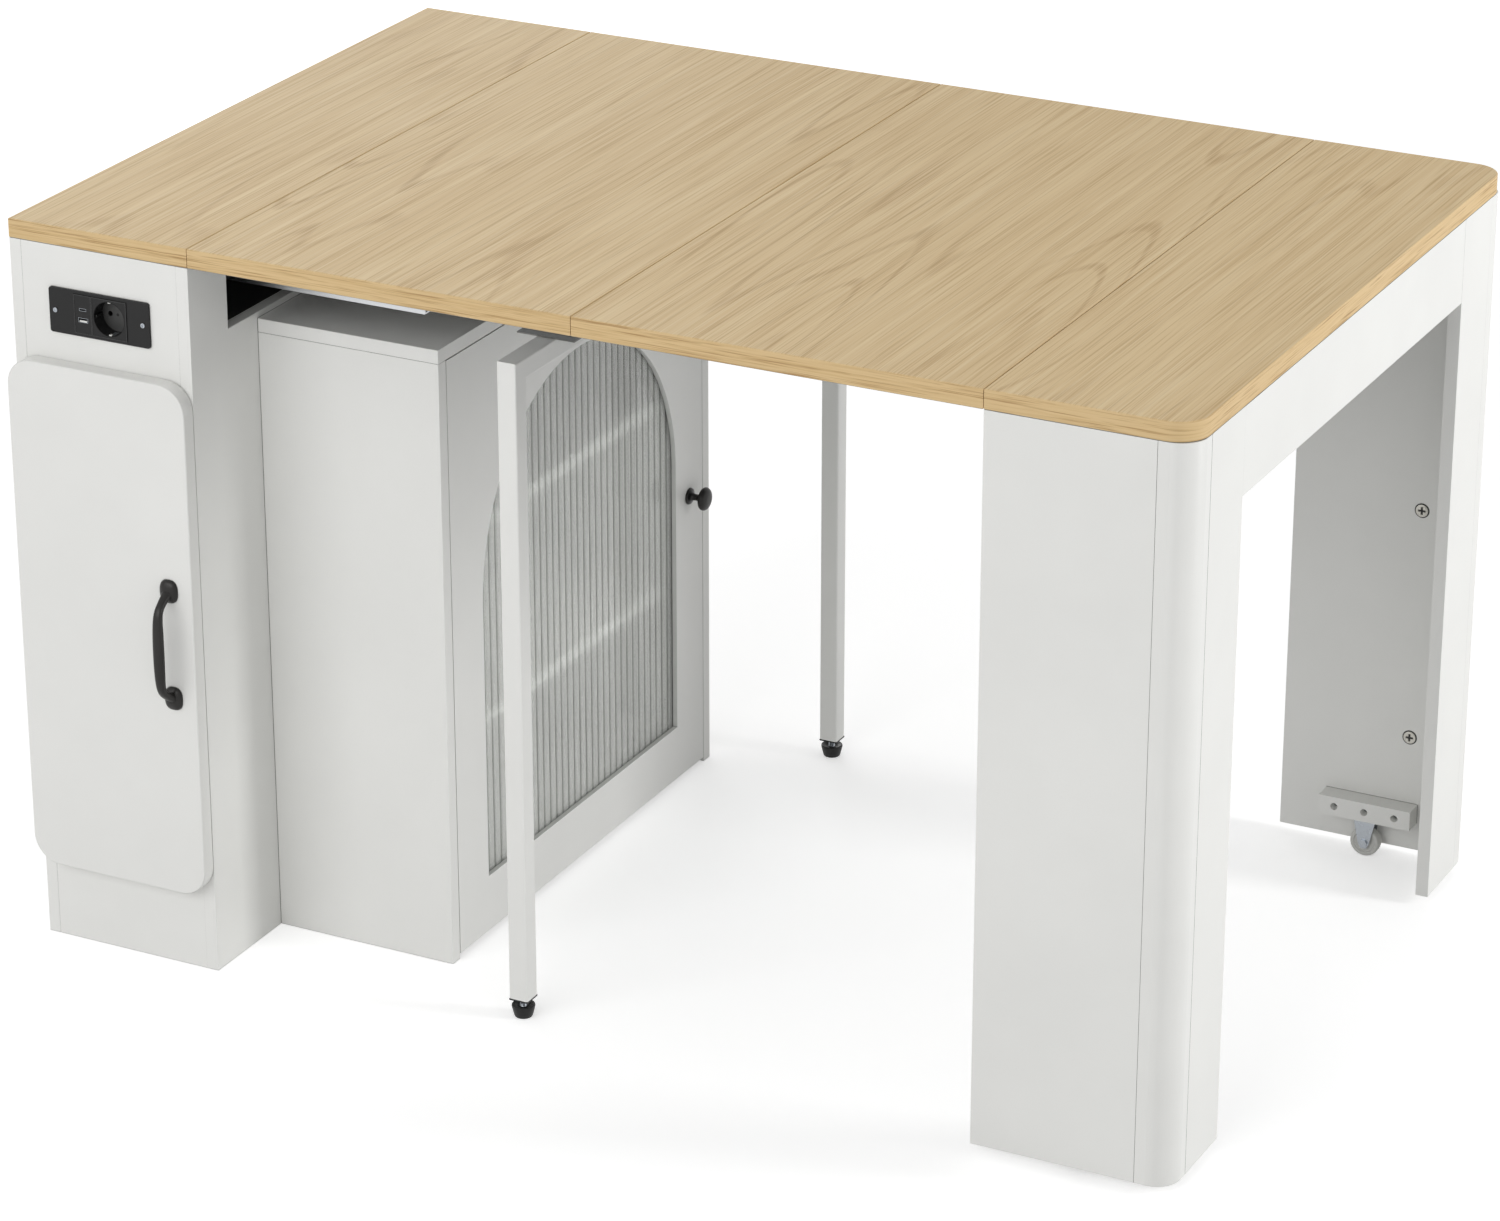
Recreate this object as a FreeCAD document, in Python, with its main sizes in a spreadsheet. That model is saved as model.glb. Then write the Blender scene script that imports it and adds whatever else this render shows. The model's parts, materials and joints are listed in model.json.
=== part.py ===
import FreeCAD, Part
import math
import os
import re
import Sketcher
from FreeCAD import Rotation, Vector

# Extendable kitchen island table, in millimetres.
# X runs along the table from the tower's outer face, Y from the near edge to the far one, Z up.
# The four leaves are drawn out: the gate stands at the far end of its travel.

# Driving sizes, each written once
SIZES = {
    # whole table
    "table_height": 860.0,
    "table_width": 900.0,
    "tower_depth": 228.0,
    "leaf_width": 466.0,
    "top_thickness": 22.0,
    "top_chamfer": 0.8,
    "leaf_gap": 0.8,
    "leaf_corner": 34.0,
    "overrun": 5.0,
    # tower
    "tower_board": 15.0,
    "slot_inset": 75.0,
    "slot_height": 92.0,
    "fascia_height": 145.0,
    "plinth_height": 113.0,
    "shelf_setback": 6.0,
    # tower door and its handle
    "door_gap": 1.5,
    "door_board": 18.0,
    "door_lap": 14.0,
    "door_corner": 32.0,
    "door_edge_chamfer": 1.0,
    "handle_from_edge": 29.0,
    "handle_spacing": 128.0,
    "handle_reach": 31.0,
    "handle_pad_width": 22.0,
    "handle_pad_height": 27.0,
    "handle_pad_thick": 8.0,
    "handle_pad_corner": 9.0,
    "handle_pad_chamfer": 3.0,
    "handle_grip_wide": 13.0,
    "handle_grip_deep": 9.0,
    "handle_grip_chamfer": 2.6,
    "handle_bend": 17.0,
    "handle_bend_round": 12.0,
    "fixing_head": 8.0,
    "fixing_head_thick": 2.2,
    # socket unit
    "plate_width": 128.0,
    "plate_height": 51.5,
    "plate_thick": 3.0,
    "plate_corner": 3.0,
    "plate_below_top": 73.0,
    "plate_screw_inset": 7.8,
    "module_size": 45.0,
    "usb_width": 22.5,
    "module_shift": 2.0,
    "module_fit": 0.2,
    "module_proud": 0.6,
    "module_depth": 30.0,
    "recess_radius": 19.5,
    "recess_depth": 17.5,
    "contact_radius": 2.6,
    "contact_spacing": 19.0,
    "contact_depth": 8.0,
    "clip_width": 6.0,
    "clip_thick": 1.2,
    "clip_length": 12.0,
    "port_above_middle": 5.5,
    "port_below_middle": 6.5,
    "port_depth": 10.0,
    "small_port_width": 9.0,
    "small_port_height": 3.2,
    "large_port_width": 12.6,
    "large_port_height": 5.2,
    "port_tongue": 1.6,
    "box_wall": 1.5,
    "box_side_cover": 2.6,
    "box_top_cover": 1.4,
    "box_fit": 0.2,
    "box_room": 2.0,
    "box_depth": 42.0,
    # cabinet
    "cabinet_inset": 134.0,
    "cabinet_board": 16.0,
    "cabinet_below_rail": 38.0,
    "cabinet_door_lift": 6.0,
    "cabinet_door_gap": 1.5,
    "cabinet_back_gap": 2.0,
    "window_stile": 67.5,
    "window_bottom": 74.0,
    "window_top_rail": 80.0,
    "rebate_width": 8.0,
    "front_lip": 6.0,
    "glass_thick": 5.0,
    "glass_clearance": 0.5,
    "flute_pitch": 14.6,
    "flute_depth": 1.7,
    "knob_from_window": 34.0,
    "knob_rosette_radius": 10.0,
    "knob_rosette_thick": 4.0,
    "knob_neck_radius": 4.5,
    "knob_neck_length": 12.0,
    "knob_head_radius": 14.5,
    "knob_head_thick": 11.0,
    # concealed hinges
    "hinge_cup_radius": 17.5,
    "hinge_cup_depth": 11.0,
    "hinge_cup_wall": 1.0,
    "hinge_cup_inset": 22.5,
    "hinge_flange_length": 56.0,
    "hinge_flange_width": 14.0,
    "hinge_flange_thick": 1.0,
    "hinge_arm_width": 12.0,
    "hinge_arm_height": 14.0,
    "hinge_plate_height": 50.0,
    "hinge_plate_length": 44.0,
    "hinge_plate_thick": 2.5,
    "hinge_from_end": 100.0,
    "hinge_play": 0.3,
    # gate
    "gate_board": 15.0,
    "gate_lift": 12.0,
    "gate_post": 41.0,
    "gate_post_round": 28.0,
    "narrow_edge": 128.0,
    "apron_height": 97.0,
    # wheel blocks and wheels
    "block_length": 114.0,
    "block_depth": 25.0,
    "block_height": 24.0,
    "block_bottom": 47.0,
    "block_hole_radius": 4.5,
    "block_hole_depth": 14.0,
    "block_hole_spacing": 37.5,
    "wheel_radius": 18.0,
    "wheel_width": 13.0,
    "axle_radius": 3.0,
    "axle_running": 0.05,
    "axle_head_radius": 5.0,
    "axle_head_thick": 2.5,
    "fork_thick": 1.5,
    "fork_side_gap": 0.8,
    "fork_top_width": 26.0,
    "fork_end_radius": 7.0,
    # middle frame
    "frame_tube": 23.0,
    "frame_wall": 1.5,
    "frame_corner": 2.0,
    "frame_from_seam": 94.5,
    "frame_inset": 50.0,
    "frame_lift": 24.0,
    "plug_flange": 2.0,
    "plug_height": 16.0,
    "stem_radius": 4.0,
    "stem_running": 0.05,
    "stem_top": 38.0,
    "foot_radius": 15.0,
    "foot_height": 15.0,
    # telescopic rails
    "rail_inset": 136.0,
    "rail_thick": 11.5,
    "rail_play": 0.5,
    "rail_above_floor": 31.0,
    "rail_under_leaf": 0.3,
    "rail_length": 400.0,
    "fixed_rail_length": 420.0,
    "rail_wall": 1.8,
    "tongue_depth": 4.0,
    "tongue_root": 10.0,
    "tongue_tip": 16.0,
    "tongue_play": 0.3,
    "rail_back_gap": 5.0,
    "rail_past_saddle": 12.0,
    "rail_past_seam": 146.0,
    "rail_before_seam": 50.0,
    "saddle_length": 70.0,
    "saddle_height": 2.0,
    "saddle_plate": 1.6,
    "saddle_width": 36.0,
    "support_length": 140.0,
    "support_start": 30.0,
    "support_side": 5.0,
}

# Places and sizes that follow from the driving ones
PLACES = {
    "under_top": "table_height - top_thickness",
    "slot_floor": "under_top - slot_height",
    "fascia_bottom": "under_top - fascia_height",
    "door_bottom": "plinth_height - door_lap",
    "door_top": "fascia_bottom + door_lap",
    "handle_low": "(door_bottom + door_top - handle_spacing) / 2",
    "handle_x": "tower_depth - handle_from_edge",
    "seam_one": "tower_depth",
    "seam_two": "tower_depth + leaf_width",
    "seam_three": "tower_depth + 2 * leaf_width",
    "table_length": "2 * tower_depth + 2 * leaf_width",
    "door_front": "-door_gap - door_board",
    "origin_x": "(2 * tower_depth + 2 * leaf_width) / 2",
    "origin_y": "(table_width - door_gap - door_board - handle_reach) / 2",
    "tower_inner": "tower_depth - 2 * tower_board",
    "slot_width": "table_width - 2 * slot_inset",
    "cabinet_front": "2 * tower_depth",
    "cabinet_width": "table_width - 2 * cabinet_inset",
    "cabinet_hollow": "table_width - 2 * cabinet_inset - 2 * cabinet_board",
    "cabinet_door_back": "2 * tower_depth - door_board",
    "cabinet_door_edge": "cabinet_inset + cabinet_board + cabinet_door_gap",
    "cabinet_door_width": "table_width - 2 * cabinet_inset - 2 * cabinet_board - 2 * cabinet_door_gap",
    "cabinet_height": "rail_bottom - cabinet_below_rail",
    "cabinet_door_height": "cabinet_height - cabinet_board - cabinet_door_gap - cabinet_door_lift",
    "knob_height": "cabinet_door_lift + cabinet_door_height / 2",
    "window_radius": "table_width / 2 - cabinet_inset - cabinet_board - cabinet_door_gap - window_stile",
    "window_spring": "cabinet_door_lift + cabinet_door_height - window_top_rail - window_radius",
    "plate_centre": "tower_depth / 2",
    "plate_middle": "under_top - plate_below_top",
    "modules_start": "tower_depth / 2 - (module_size + usb_width) / 2 + module_shift",
    "box_start": "tower_depth / 2 - plate_width / 2 + box_side_cover",
    "box_width": "plate_width - 2 * box_side_cover",
    "box_low": "plate_middle - plate_height / 2 + box_top_cover",
    "box_height": "plate_height - 2 * box_top_cover",
    "fork_width": "wheel_width + 2 * fork_side_gap + 2 * fork_thick",
    "wheel_x": "3 * tower_depth / 2 + 2 * leaf_width",
    "wheel_y": "gate_board + block_depth / 2",
    "frame_x": "tower_depth + leaf_width - frame_from_seam - frame_tube / 2",
    "apron_bottom": "under_top - apron_height",
    "rail_bottom": "slot_floor + rail_above_floor",
    "frame_top": "rail_bottom - saddle_height",
    "rail_height": "under_top - rail_under_leaf - rail_bottom",
    "frame_rail_end": "frame_x + saddle_length / 2 + rail_past_saddle",
    "second_rail_end": "seam_two + rail_past_seam",
    "third_rail_end": "seam_three - rail_before_seam",
    "rail_pitch": "rail_thick + rail_play",
    "tongue_flare": "(tongue_tip - tongue_root) / 2 / tongue_depth",
    "gate_rail_start": "2 * tower_depth + 2 * leaf_width - gate_board - rail_length",
}

doc = FreeCAD.newDocument("kitchen_island_table")
sheet = doc.addObject("Spreadsheet::Sheet", "sizes")
for row, (name, value) in enumerate(SIZES.items(), start=1):
    sheet.set("A" + str(row), name)
    sheet.set("B" + str(row), str(value))
    sheet.setAlias("B" + str(row), name)
doc.recompute()

places = doc.addObject("App::VarSet", "places")


def bind(text):
    """Put the owner's name before each size or place in an expression."""
    def owner(match):
        word = match.group(0)
        if word in PLACES:
            return "places." + word
        if word in SIZES:
            return "sizes." + word
        return word
    return re.sub(r"[A-Za-z_]+", owner, text)


for name, text in PLACES.items():
    places.addProperty("App::PropertyFloat", name)
for name, text in PLACES.items():
    places.setExpression(name, bind(text))
doc.recompute()


def number(name):
    """The present value of a named size or place."""
    if name in PLACES:
        return float(getattr(places, name))
    return float(sheet.get(name))


# Unit directions and quarter turns
X_AXIS = Vector(1, 0, 0)
Y_AXIS = Vector(0, 1, 0)
Z_AXIS = Vector(0, 0, 1)
QUARTER = 90
HALF = 180
UPRIGHT = Rotation(Z_AXIS, 0)
ALONG_X = Rotation(Y_AXIS, QUARTER)
ALONG_Y = Rotation(X_AXIS, -QUARTER)
NEAR = 0.001

NODES = {}


def place(obj, at, turn=UPRIGHT):
    """Set an object's base point, given in the table's coordinates, by expressions."""
    obj.Placement = FreeCAD.Placement(Vector(), turn)
    obj.setExpression("Placement.Base.x", bind("(" + at[0] + ") - origin_x"))
    obj.setExpression("Placement.Base.y", bind("(" + at[1] + ") - origin_y"))
    obj.setExpression("Placement.Base.z", bind(at[2]))
    return obj


def keep(name, obj):
    """Make an object one of the table's pieces."""
    obj.Label = name
    NODES[name] = obj
    return obj


def box(name, at, size):
    obj = doc.addObject("Part::Box", name)
    for prop, text in zip(("Length", "Width", "Height"), size):
        obj.setExpression(prop, bind(text))
    return place(obj, at)


def cylinder(name, at, radius, length, turn=UPRIGHT):
    obj = doc.addObject("Part::Cylinder", name)
    obj.setExpression("Radius", bind(radius))
    obj.setExpression("Height", bind(length))
    return place(obj, at, turn)


def hexagon(name, at, radius, length, turn=UPRIGHT):
    """A six-sided head, such as a bolt's."""
    obj = doc.addObject("Part::Prism", name)
    obj.setExpression("Circumradius", bind(radius))
    obj.setExpression("Height", bind(length))
    return place(obj, at, turn)


def fuse(name, members):
    obj = doc.addObject("Part::MultiFuse", name)
    obj.Shapes = members
    obj.Refine = True
    return obj


def group(name, members):
    """Several separate solids that share one node."""
    obj = doc.addObject("Part::Compound", name)
    obj.Links = members
    return obj


def cut(name, base, tools):
    obj = doc.addObject("Part::Cut", name)
    obj.Base = base
    obj.Tool = tools[0] if len(tools) == 1 else group(name + "_tools", tools)
    return obj


def fillet(name, base, radius, wanted):
    """Round the edges that a test picks."""
    doc.recompute()
    obj = doc.addObject("Part::Fillet", name)
    obj.Base = base
    size = number(radius)
    obj.Edges = [(i, size, size) for i, edge in enumerate(base.Shape.Edges, start=1) if wanted(edge)]
    return obj


def origin_plane(body, role):
    return [item for item in body.Origin.OriginFeatures if item.Role == role][0]


def profile(body, name, role, loops):
    """A sketch of straight loops whose corners are all bound to the sheet."""
    sketch = body.newObject("Sketcher::SketchObject", name)
    sketch.AttachmentSupport = [(origin_plane(body, role), "")]
    sketch.MapMode = "FlatFace"
    for loop in loops:
        first = sketch.GeometryCount
        count = len(loop)
        turns = [math.tau * i / count for i in range(count)]
        ring = [Vector(math.cos(angle), math.sin(angle), 0) for angle in turns]
        for i in range(count):
            sketch.addGeometry(Part.LineSegment(ring[i], ring[(i + 1) % count]), False)
        for i in range(count):
            sketch.addConstraint(Sketcher.Constraint("Coincident", first + i, 2, first + (i + 1) % count, 1))
        for i, corner in enumerate(loop):
            for kind, text in zip(("DistanceX", "DistanceY"), corner):
                bound = Sketcher.Constraint(kind, -1, 1, first + i, 1, ring[i].x)
                index = sketch.addConstraint(bound)
                sketch.setExpression("Constraints[" + str(index) + "]", bind(text))
    return sketch


def extruded(name, role, loops, length, at, turn=UPRIGHT):
    """A body that is one profile pushed straight out."""
    body = doc.addObject("PartDesign::Body", name)
    pad = body.newObject("PartDesign::Pad", name + "_pad")
    pad.Profile = profile(body, name + "_sketch", role, loops)
    pad.setExpression("Length", bind(length))
    body.Tip = pad
    return place(body, at, turn)


def turned(name, loop, at, turn=UPRIGHT):
    """A body turned on a lathe: the profile's first numbers are radii, the second ones heights."""
    body = doc.addObject("PartDesign::Body", name)
    sketch = profile(body, name + "_sketch", "XZ_Plane", [loop])
    lathe = body.newObject("PartDesign::Revolution", name + "_turning")
    lathe.Profile = sketch
    lathe.ReferenceAxis = (sketch, ["V_Axis"])
    lathe.Angle = 2 * HALF
    body.Tip = lathe
    return place(body, at, turn)


def soften(body, kind, prop, size, wanted):
    """Add a fillet or chamfer to a body's last feature, on the edges that a test picks."""
    doc.recompute()
    base = body.Tip
    bounds = base.Shape.BoundBox
    feature = body.newObject("PartDesign::" + kind, body.Name + "_" + prop.lower() + str(len(body.Group)))
    picked = [i for i, edge in enumerate(base.Shape.Edges, start=1) if wanted(edge, bounds)]
    feature.Base = (base, ["Edge" + str(i) for i in picked])
    feature.setExpression(prop, bind(size))
    body.Tip = feature
    return body


def straight_along(edge, axis):
    """Whether an edge is a straight one along an axis."""
    if not isinstance(edge.Curve, Part.Line):
        return False
    return abs(abs(edge.Curve.Direction.dot(axis)) - 1) < NEAR


def front_edges(edge, bounds):
    """Edges that lie in the face with the smallest Y."""
    return edge.BoundBox.YMax < bounds.YMin + NEAR


def rectangle(length, width):
    return [("0", "0"), (length, "0"), (length, width), ("0", width)]


def mirrored(start, width):
    """The far side's start of something that starts and is as wide as given on the near side."""
    return "table_width - (" + start + ") - (" + width + ")"


# Leaves of the oak top: four boards on the same level, with eased edges

def level_edges(edge, bounds):
    """Edges that lie in the board's upper or lower face."""
    flat = edge.BoundBox.ZLength < NEAR
    at_face = min(abs(edge.BoundBox.ZMin - bounds.ZMin), abs(edge.BoundBox.ZMax - bounds.ZMax)) < NEAR
    return flat and at_face


def outer_uprights(edge, bounds):
    """Upright edges on the side with the largest X."""
    return straight_along(edge, Z_AXIS) and abs(edge.BoundBox.XMax - bounds.XMax) < NEAR


def make_leaf(name, start, end, rounded):
    loop = rectangle("(" + end + ") - (" + start + ")", "table_width")
    leaf = extruded(name, "XY_Plane", [loop], "top_thickness", (start, "0", "under_top"))
    if rounded:
        soften(leaf, "Fillet", "Radius", "leaf_corner", outer_uprights)
    soften(leaf, "Chamfer", "Size", "top_chamfer", level_edges)
    return keep(name, leaf)


make_leaf("leaf_one", "0", "seam_one - leaf_gap / 2", False)
make_leaf("leaf_two", "seam_one + leaf_gap / 2", "seam_two - leaf_gap / 2", False)
make_leaf("leaf_three", "seam_two + leaf_gap / 2", "seam_three - leaf_gap / 2", False)
make_leaf("leaf_four", "seam_three + leaf_gap / 2", "table_length", True)


# Tower

def make_tower():
    side = ("tower_board", "table_width", "under_top")
    keep("tower_outer_side", box("tower_outer_side", ("0", "0", "0"), side))
    inner = box("inner_side_board", ("tower_depth - tower_board", "0", "0"), side)
    slot = box("rail_slot", ("tower_depth - tower_board - overrun", "slot_inset", "slot_floor"),
               ("tower_board + 2 * overrun", "slot_width", "under_top - slot_floor + overrun"))
    keep("tower_inner_side", cut("tower_inner_side", inner, [slot]))
    front = box("fascia_board", ("tower_board", "0", "fascia_bottom"),
                ("tower_inner", "tower_board", "under_top - fascia_bottom"))
    hole = box("fascia_hole", ("box_start - box_fit", "-overrun", "box_low - box_fit"),
               ("box_width + 2 * box_fit", "tower_board + 2 * overrun", "box_height + 2 * box_fit"))
    keep("tower_fascia", cut("tower_fascia", front, [hole]))
    keep("tower_plinth", box("tower_plinth", ("tower_board", "0", "0"),
                             ("tower_inner", "tower_board", "plinth_height")))
    keep("tower_far_end", box("tower_far_end", ("tower_board", mirrored("0", "tower_board"), "0"),
                              ("tower_inner", "tower_board", "under_top")))
    inside = "table_width - 2 * tower_board"
    keep("tower_bottom", box("tower_bottom", ("tower_board", "tower_board", "plinth_height - tower_board"),
                             ("tower_inner", inside, "tower_board")))
    floor = box("rail_floor_board", ("tower_board", "tower_board", "slot_floor - tower_board"),
                ("tower_inner", inside, "tower_board"))
    notch = box("rail_floor_notch", ("box_start - box_room", "tower_board - overrun",
                                     "slot_floor - tower_board - overrun"),
                ("box_width + 2 * box_room", "box_depth + box_room - tower_board + overrun",
                 "tower_board + 2 * overrun"))
    keep("tower_rail_floor", cut("tower_rail_floor", floor, [notch]))
    room = "(slot_floor - tower_board - plinth_height)"
    divider_at = "(table_width - tower_board) / 2"
    keep("tower_divider", box("tower_divider", ("tower_board", divider_at, "plinth_height"),
                              ("tower_inner", "tower_board", room)))
    bay = "(" + room + " - 2 * tower_board) / 3"
    shelf = ("tower_inner", divider_at + " - tower_board - shelf_setback", "tower_board")
    shelves = []
    for level in (1, 2):
        height = "plinth_height + " + str(level) + " * " + bay + " + " + str(level - 1) + " * tower_board"
        at = ("tower_board", "tower_board + shelf_setback", height)
        shelves.append(box("tower_shelf_" + str(level), at, shelf))
    keep("tower_shelves", group("tower_shelves", shelves))


make_tower()


# Power socket unit in the fascia

def make_socket():
    low = "plate_middle - plate_height / 2"
    left = "plate_centre - plate_width / 2"
    plate = box("plate_board", (left, "-plate_thick", low), ("plate_width", "plate_thick", "plate_height"))
    plate = fillet("plate_rounded", plate, "plate_corner", lambda edge: straight_along(edge, Y_AXIS))
    opening = box("plate_opening", ("modules_start - module_fit", "-plate_thick - overrun",
                                    "plate_middle - module_size / 2 - module_fit"),
                  ("module_size + usb_width + 2 * module_fit", "plate_thick + 2 * overrun",
                   "module_size + 2 * module_fit"))
    screws = []
    right = "plate_centre + plate_width / 2"
    for side, x in (("left", left + " + plate_screw_inset"), ("right", right + " - plate_screw_inset")):
        at = (x, "-plate_thick - fixing_head_thick / 2", "plate_middle")
        screws.append(cylinder("plate_screw_" + side, at, "fixing_head * 3 / 8", "fixing_head_thick / 2",
                               ALONG_Y))
    keep("socket_faceplate", cut("socket_faceplate", plate, [opening]))
    keep("faceplate_screws", group("faceplate_screws", screws))
    # modules side by side: charging ports, then the round recess
    base = "plate_middle - module_size / 2"
    proud = "-plate_thick - module_proud"
    usb = box("usb_block", ("modules_start", proud, base), ("usb_width", "module_depth", "module_size"))
    usb_middle = "modules_start + usb_width / 2"
    ports = []
    heights = {"small": "plate_middle + port_above_middle", "large": "plate_middle - port_below_middle"}
    for kind, height in heights.items():
        wide = kind + "_port_width"
        tall = kind + "_port_height"
        port_x = usb_middle + " - " + wide + " / 2"
        port = box(kind + "_port", (port_x, proud + " - overrun", height + " - " + tall + " / 2"),
                   (wide, "port_depth + overrun", tall))
        tongue = box(kind + "_tongue", (port_x + " + port_tongue", proud + " + port_tongue / 2",
                                        height + " - port_tongue / 4"),
                     (wide + " - 2 * port_tongue", "port_depth", "port_tongue / 2"))
        ports.append(cut(kind + "_port_space", port, [tongue]))
    keep("usb_module", cut("usb_module", usb, ports))
    start = "modules_start + usb_width"
    middle = start + " + module_size / 2"
    socket = box("socket_block", (start, proud, base), ("module_size", "module_depth", "module_size"))
    recess = cylinder("socket_recess", (middle, proud + " - overrun", "plate_middle"), "recess_radius",
                      "recess_depth + overrun", ALONG_Y)
    tools = [recess]
    for side, sign in (("left", "-"), ("right", "+")):
        at = (middle + sign + "contact_spacing / 2", proud + " + recess_depth - overrun", "plate_middle")
        tools.append(cylinder("contact_hole_" + side, at, "contact_radius", "contact_depth + overrun",
                              ALONG_Y))
    # each earth clip lies in a groove of the recess's wall, flush with it
    clips = []
    clip_y = proud + " + plate_thick"
    low_wall = "plate_middle - recess_radius"
    high_wall = "plate_middle + recess_radius"
    for side, groove_z, clip_z in (("low", low_wall + " - clip_thick", low_wall + " - clip_thick"),
                                   ("high", high_wall + " - clip_thick", high_wall)):
        tools.append(box("clip_groove_" + side, (middle + " - clip_width / 2 - module_fit", clip_y, groove_z),
                         ("clip_width + 2 * module_fit", "clip_length", "2 * clip_thick")))
        clips.append(box("clip_" + side, (middle + " - clip_width / 2", clip_y, clip_z),
                         ("clip_width", "clip_length", "clip_thick")))
    keep("power_socket", cut("power_socket", socket, tools))
    keep("earth_clips", group("earth_clips", clips))
    shell = box("back_box_block", ("box_start", "0", "box_low"), ("box_width", "box_depth", "box_height"))
    hollow = box("back_box_hollow", ("box_start + box_wall", "-overrun", "box_low + box_wall"),
                 ("box_width - 2 * box_wall", "box_depth - box_wall + overrun", "box_height - 2 * box_wall"))
    keep("socket_back_box", cut("socket_back_box", shell, [hollow]))


make_socket()


# Tower door with its bow handle

def make_tower_door():
    tall = "door_top - door_bottom"
    door = extruded("tower_door_board", "XZ_Plane", [rectangle("tower_depth", tall)], "door_board",
                    ("0", "-door_gap", "door_bottom"))
    soften(door, "Fillet", "Radius", "door_corner", lambda edge, bounds: straight_along(edge, Y_AXIS))
    soften(door, "Chamfer", "Size", "door_edge_chamfer", front_edges)
    screws = []
    for level, z in (("low", "handle_low"), ("high", "handle_low + handle_spacing")):
        screws.append(hexagon("handle_screw_" + level, ("handle_x", "-door_gap", z), "fixing_head / 2",
                              "fixing_head_thick", ALONG_Y))
    tools = []
    cups = []
    arms = []
    for level, z in (("low", "door_bottom + hinge_from_end"), ("high", "door_top - hinge_from_end")):
        cup_at = ("hinge_cup_inset", "-door_gap - hinge_cup_depth", z)
        tools.append(cylinder("tower_cup_bore_" + level, cup_at, "hinge_cup_radius",
                              "hinge_cup_depth + overrun", ALONG_Y))
        outer = cylinder("tower_cup_" + level, cup_at, "hinge_cup_radius", "hinge_cup_depth", ALONG_Y)
        flange = box("tower_flange_" + level, ("hinge_cup_inset - hinge_flange_width / 2", "-door_gap",
                                               z + " - hinge_flange_length / 2"),
                     ("hinge_flange_width", "hinge_flange_thick", "hinge_flange_length"))
        hollow = cylinder("tower_cup_hollow_" + level,
                          ("hinge_cup_inset", "-door_gap - hinge_cup_depth + hinge_cup_wall", z),
                          "hinge_cup_radius - hinge_cup_wall", "hinge_cup_depth + overrun", ALONG_Y)
        blank = fuse("tower_cup_blank_" + level, [outer, flange])
        cups.append(cut("tower_hinge_cup_" + level, blank, [hollow]))
        plate = box("tower_hinge_plate_" + level, ("tower_board", "tower_board + shelf_setback",
                                                   z + " - hinge_plate_height / 2"),
                    ("hinge_plate_thick", "hinge_plate_length", "hinge_plate_height"))
        arm_start = "hinge_play - door_gap"
        arm_end = "tower_board + shelf_setback + hinge_plate_length"
        arm = box("tower_hinge_arm_" + level, ("tower_board + hinge_plate_thick", arm_start,
                                               z + " - hinge_arm_width / 2"),
                  ("hinge_arm_height", arm_end + " - (" + arm_start + ")", "hinge_arm_width"))
        arms.append(fuse("tower_hinge_arm_plate_" + level, [plate, arm]))
    keep("tower_door", cut("tower_door", door, tools))
    keep("handle_screws", group("handle_screws", screws))
    keep("tower_hinge_cups", group("tower_hinge_cups", cups))
    keep("tower_hinge_arms", group("tower_hinge_arms", arms))


make_tower_door()


def make_handle():
    """A bow grip between two rounded pads: the grip leaves each pad on a slant and runs straight."""
    low = "handle_low"
    high = "handle_low + handle_spacing"
    root = "door_front - handle_pad_thick / 2"
    outer = "door_front - handle_reach"
    inner = "door_front - handle_reach + handle_grip_deep"
    # the slanted ends are as thick as the grip, so they are cut taller than it at the pads
    foot = "handle_grip_deep * 5 / 8"
    miter = "handle_grip_deep / 4"
    loop = [(root, low + " - " + foot), (root, low + " + " + foot),
            (inner, low + " + handle_bend + " + miter), (inner, high + " - handle_bend - " + miter),
            (root, high + " - " + foot), (root, high + " + " + foot),
            (outer, high + " - handle_bend + " + miter), (outer, low + " + handle_bend - " + miter)]
    grip = extruded("bow_grip", "YZ_Plane", [loop], "handle_grip_wide",
                    ("handle_x - handle_grip_wide / 2", "0", "0"))

    def outer_bends(edge, bounds):
        return straight_along(edge, X_AXIS) and edge.BoundBox.YMax < bounds.YMin + NEAR

    def long_edges(edge, bounds):
        return not straight_along(edge, X_AXIS)

    def corners(edge, bounds):
        return straight_along(edge, Y_AXIS)

    soften(grip, "Fillet", "Radius", "handle_bend_round", outer_bends)
    soften(grip, "Chamfer", "Size", "handle_grip_chamfer", long_edges)
    members = [grip]
    for level, z in (("low", low), ("high", high)):
        at = ("handle_x - handle_pad_width / 2", "door_front", z + " - handle_pad_height / 2")
        loop = rectangle("handle_pad_width", "handle_pad_height")
        pad = extruded("handle_pad_" + level, "XZ_Plane", [loop], "handle_pad_thick", at)
        soften(pad, "Fillet", "Radius", "handle_pad_corner", corners)
        soften(pad, "Chamfer", "Size", "handle_pad_chamfer", front_edges)
        members.append(pad)
    keep("bow_handle", fuse("bow_handle", members))


make_handle()


# Cabinet behind the tower

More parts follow.
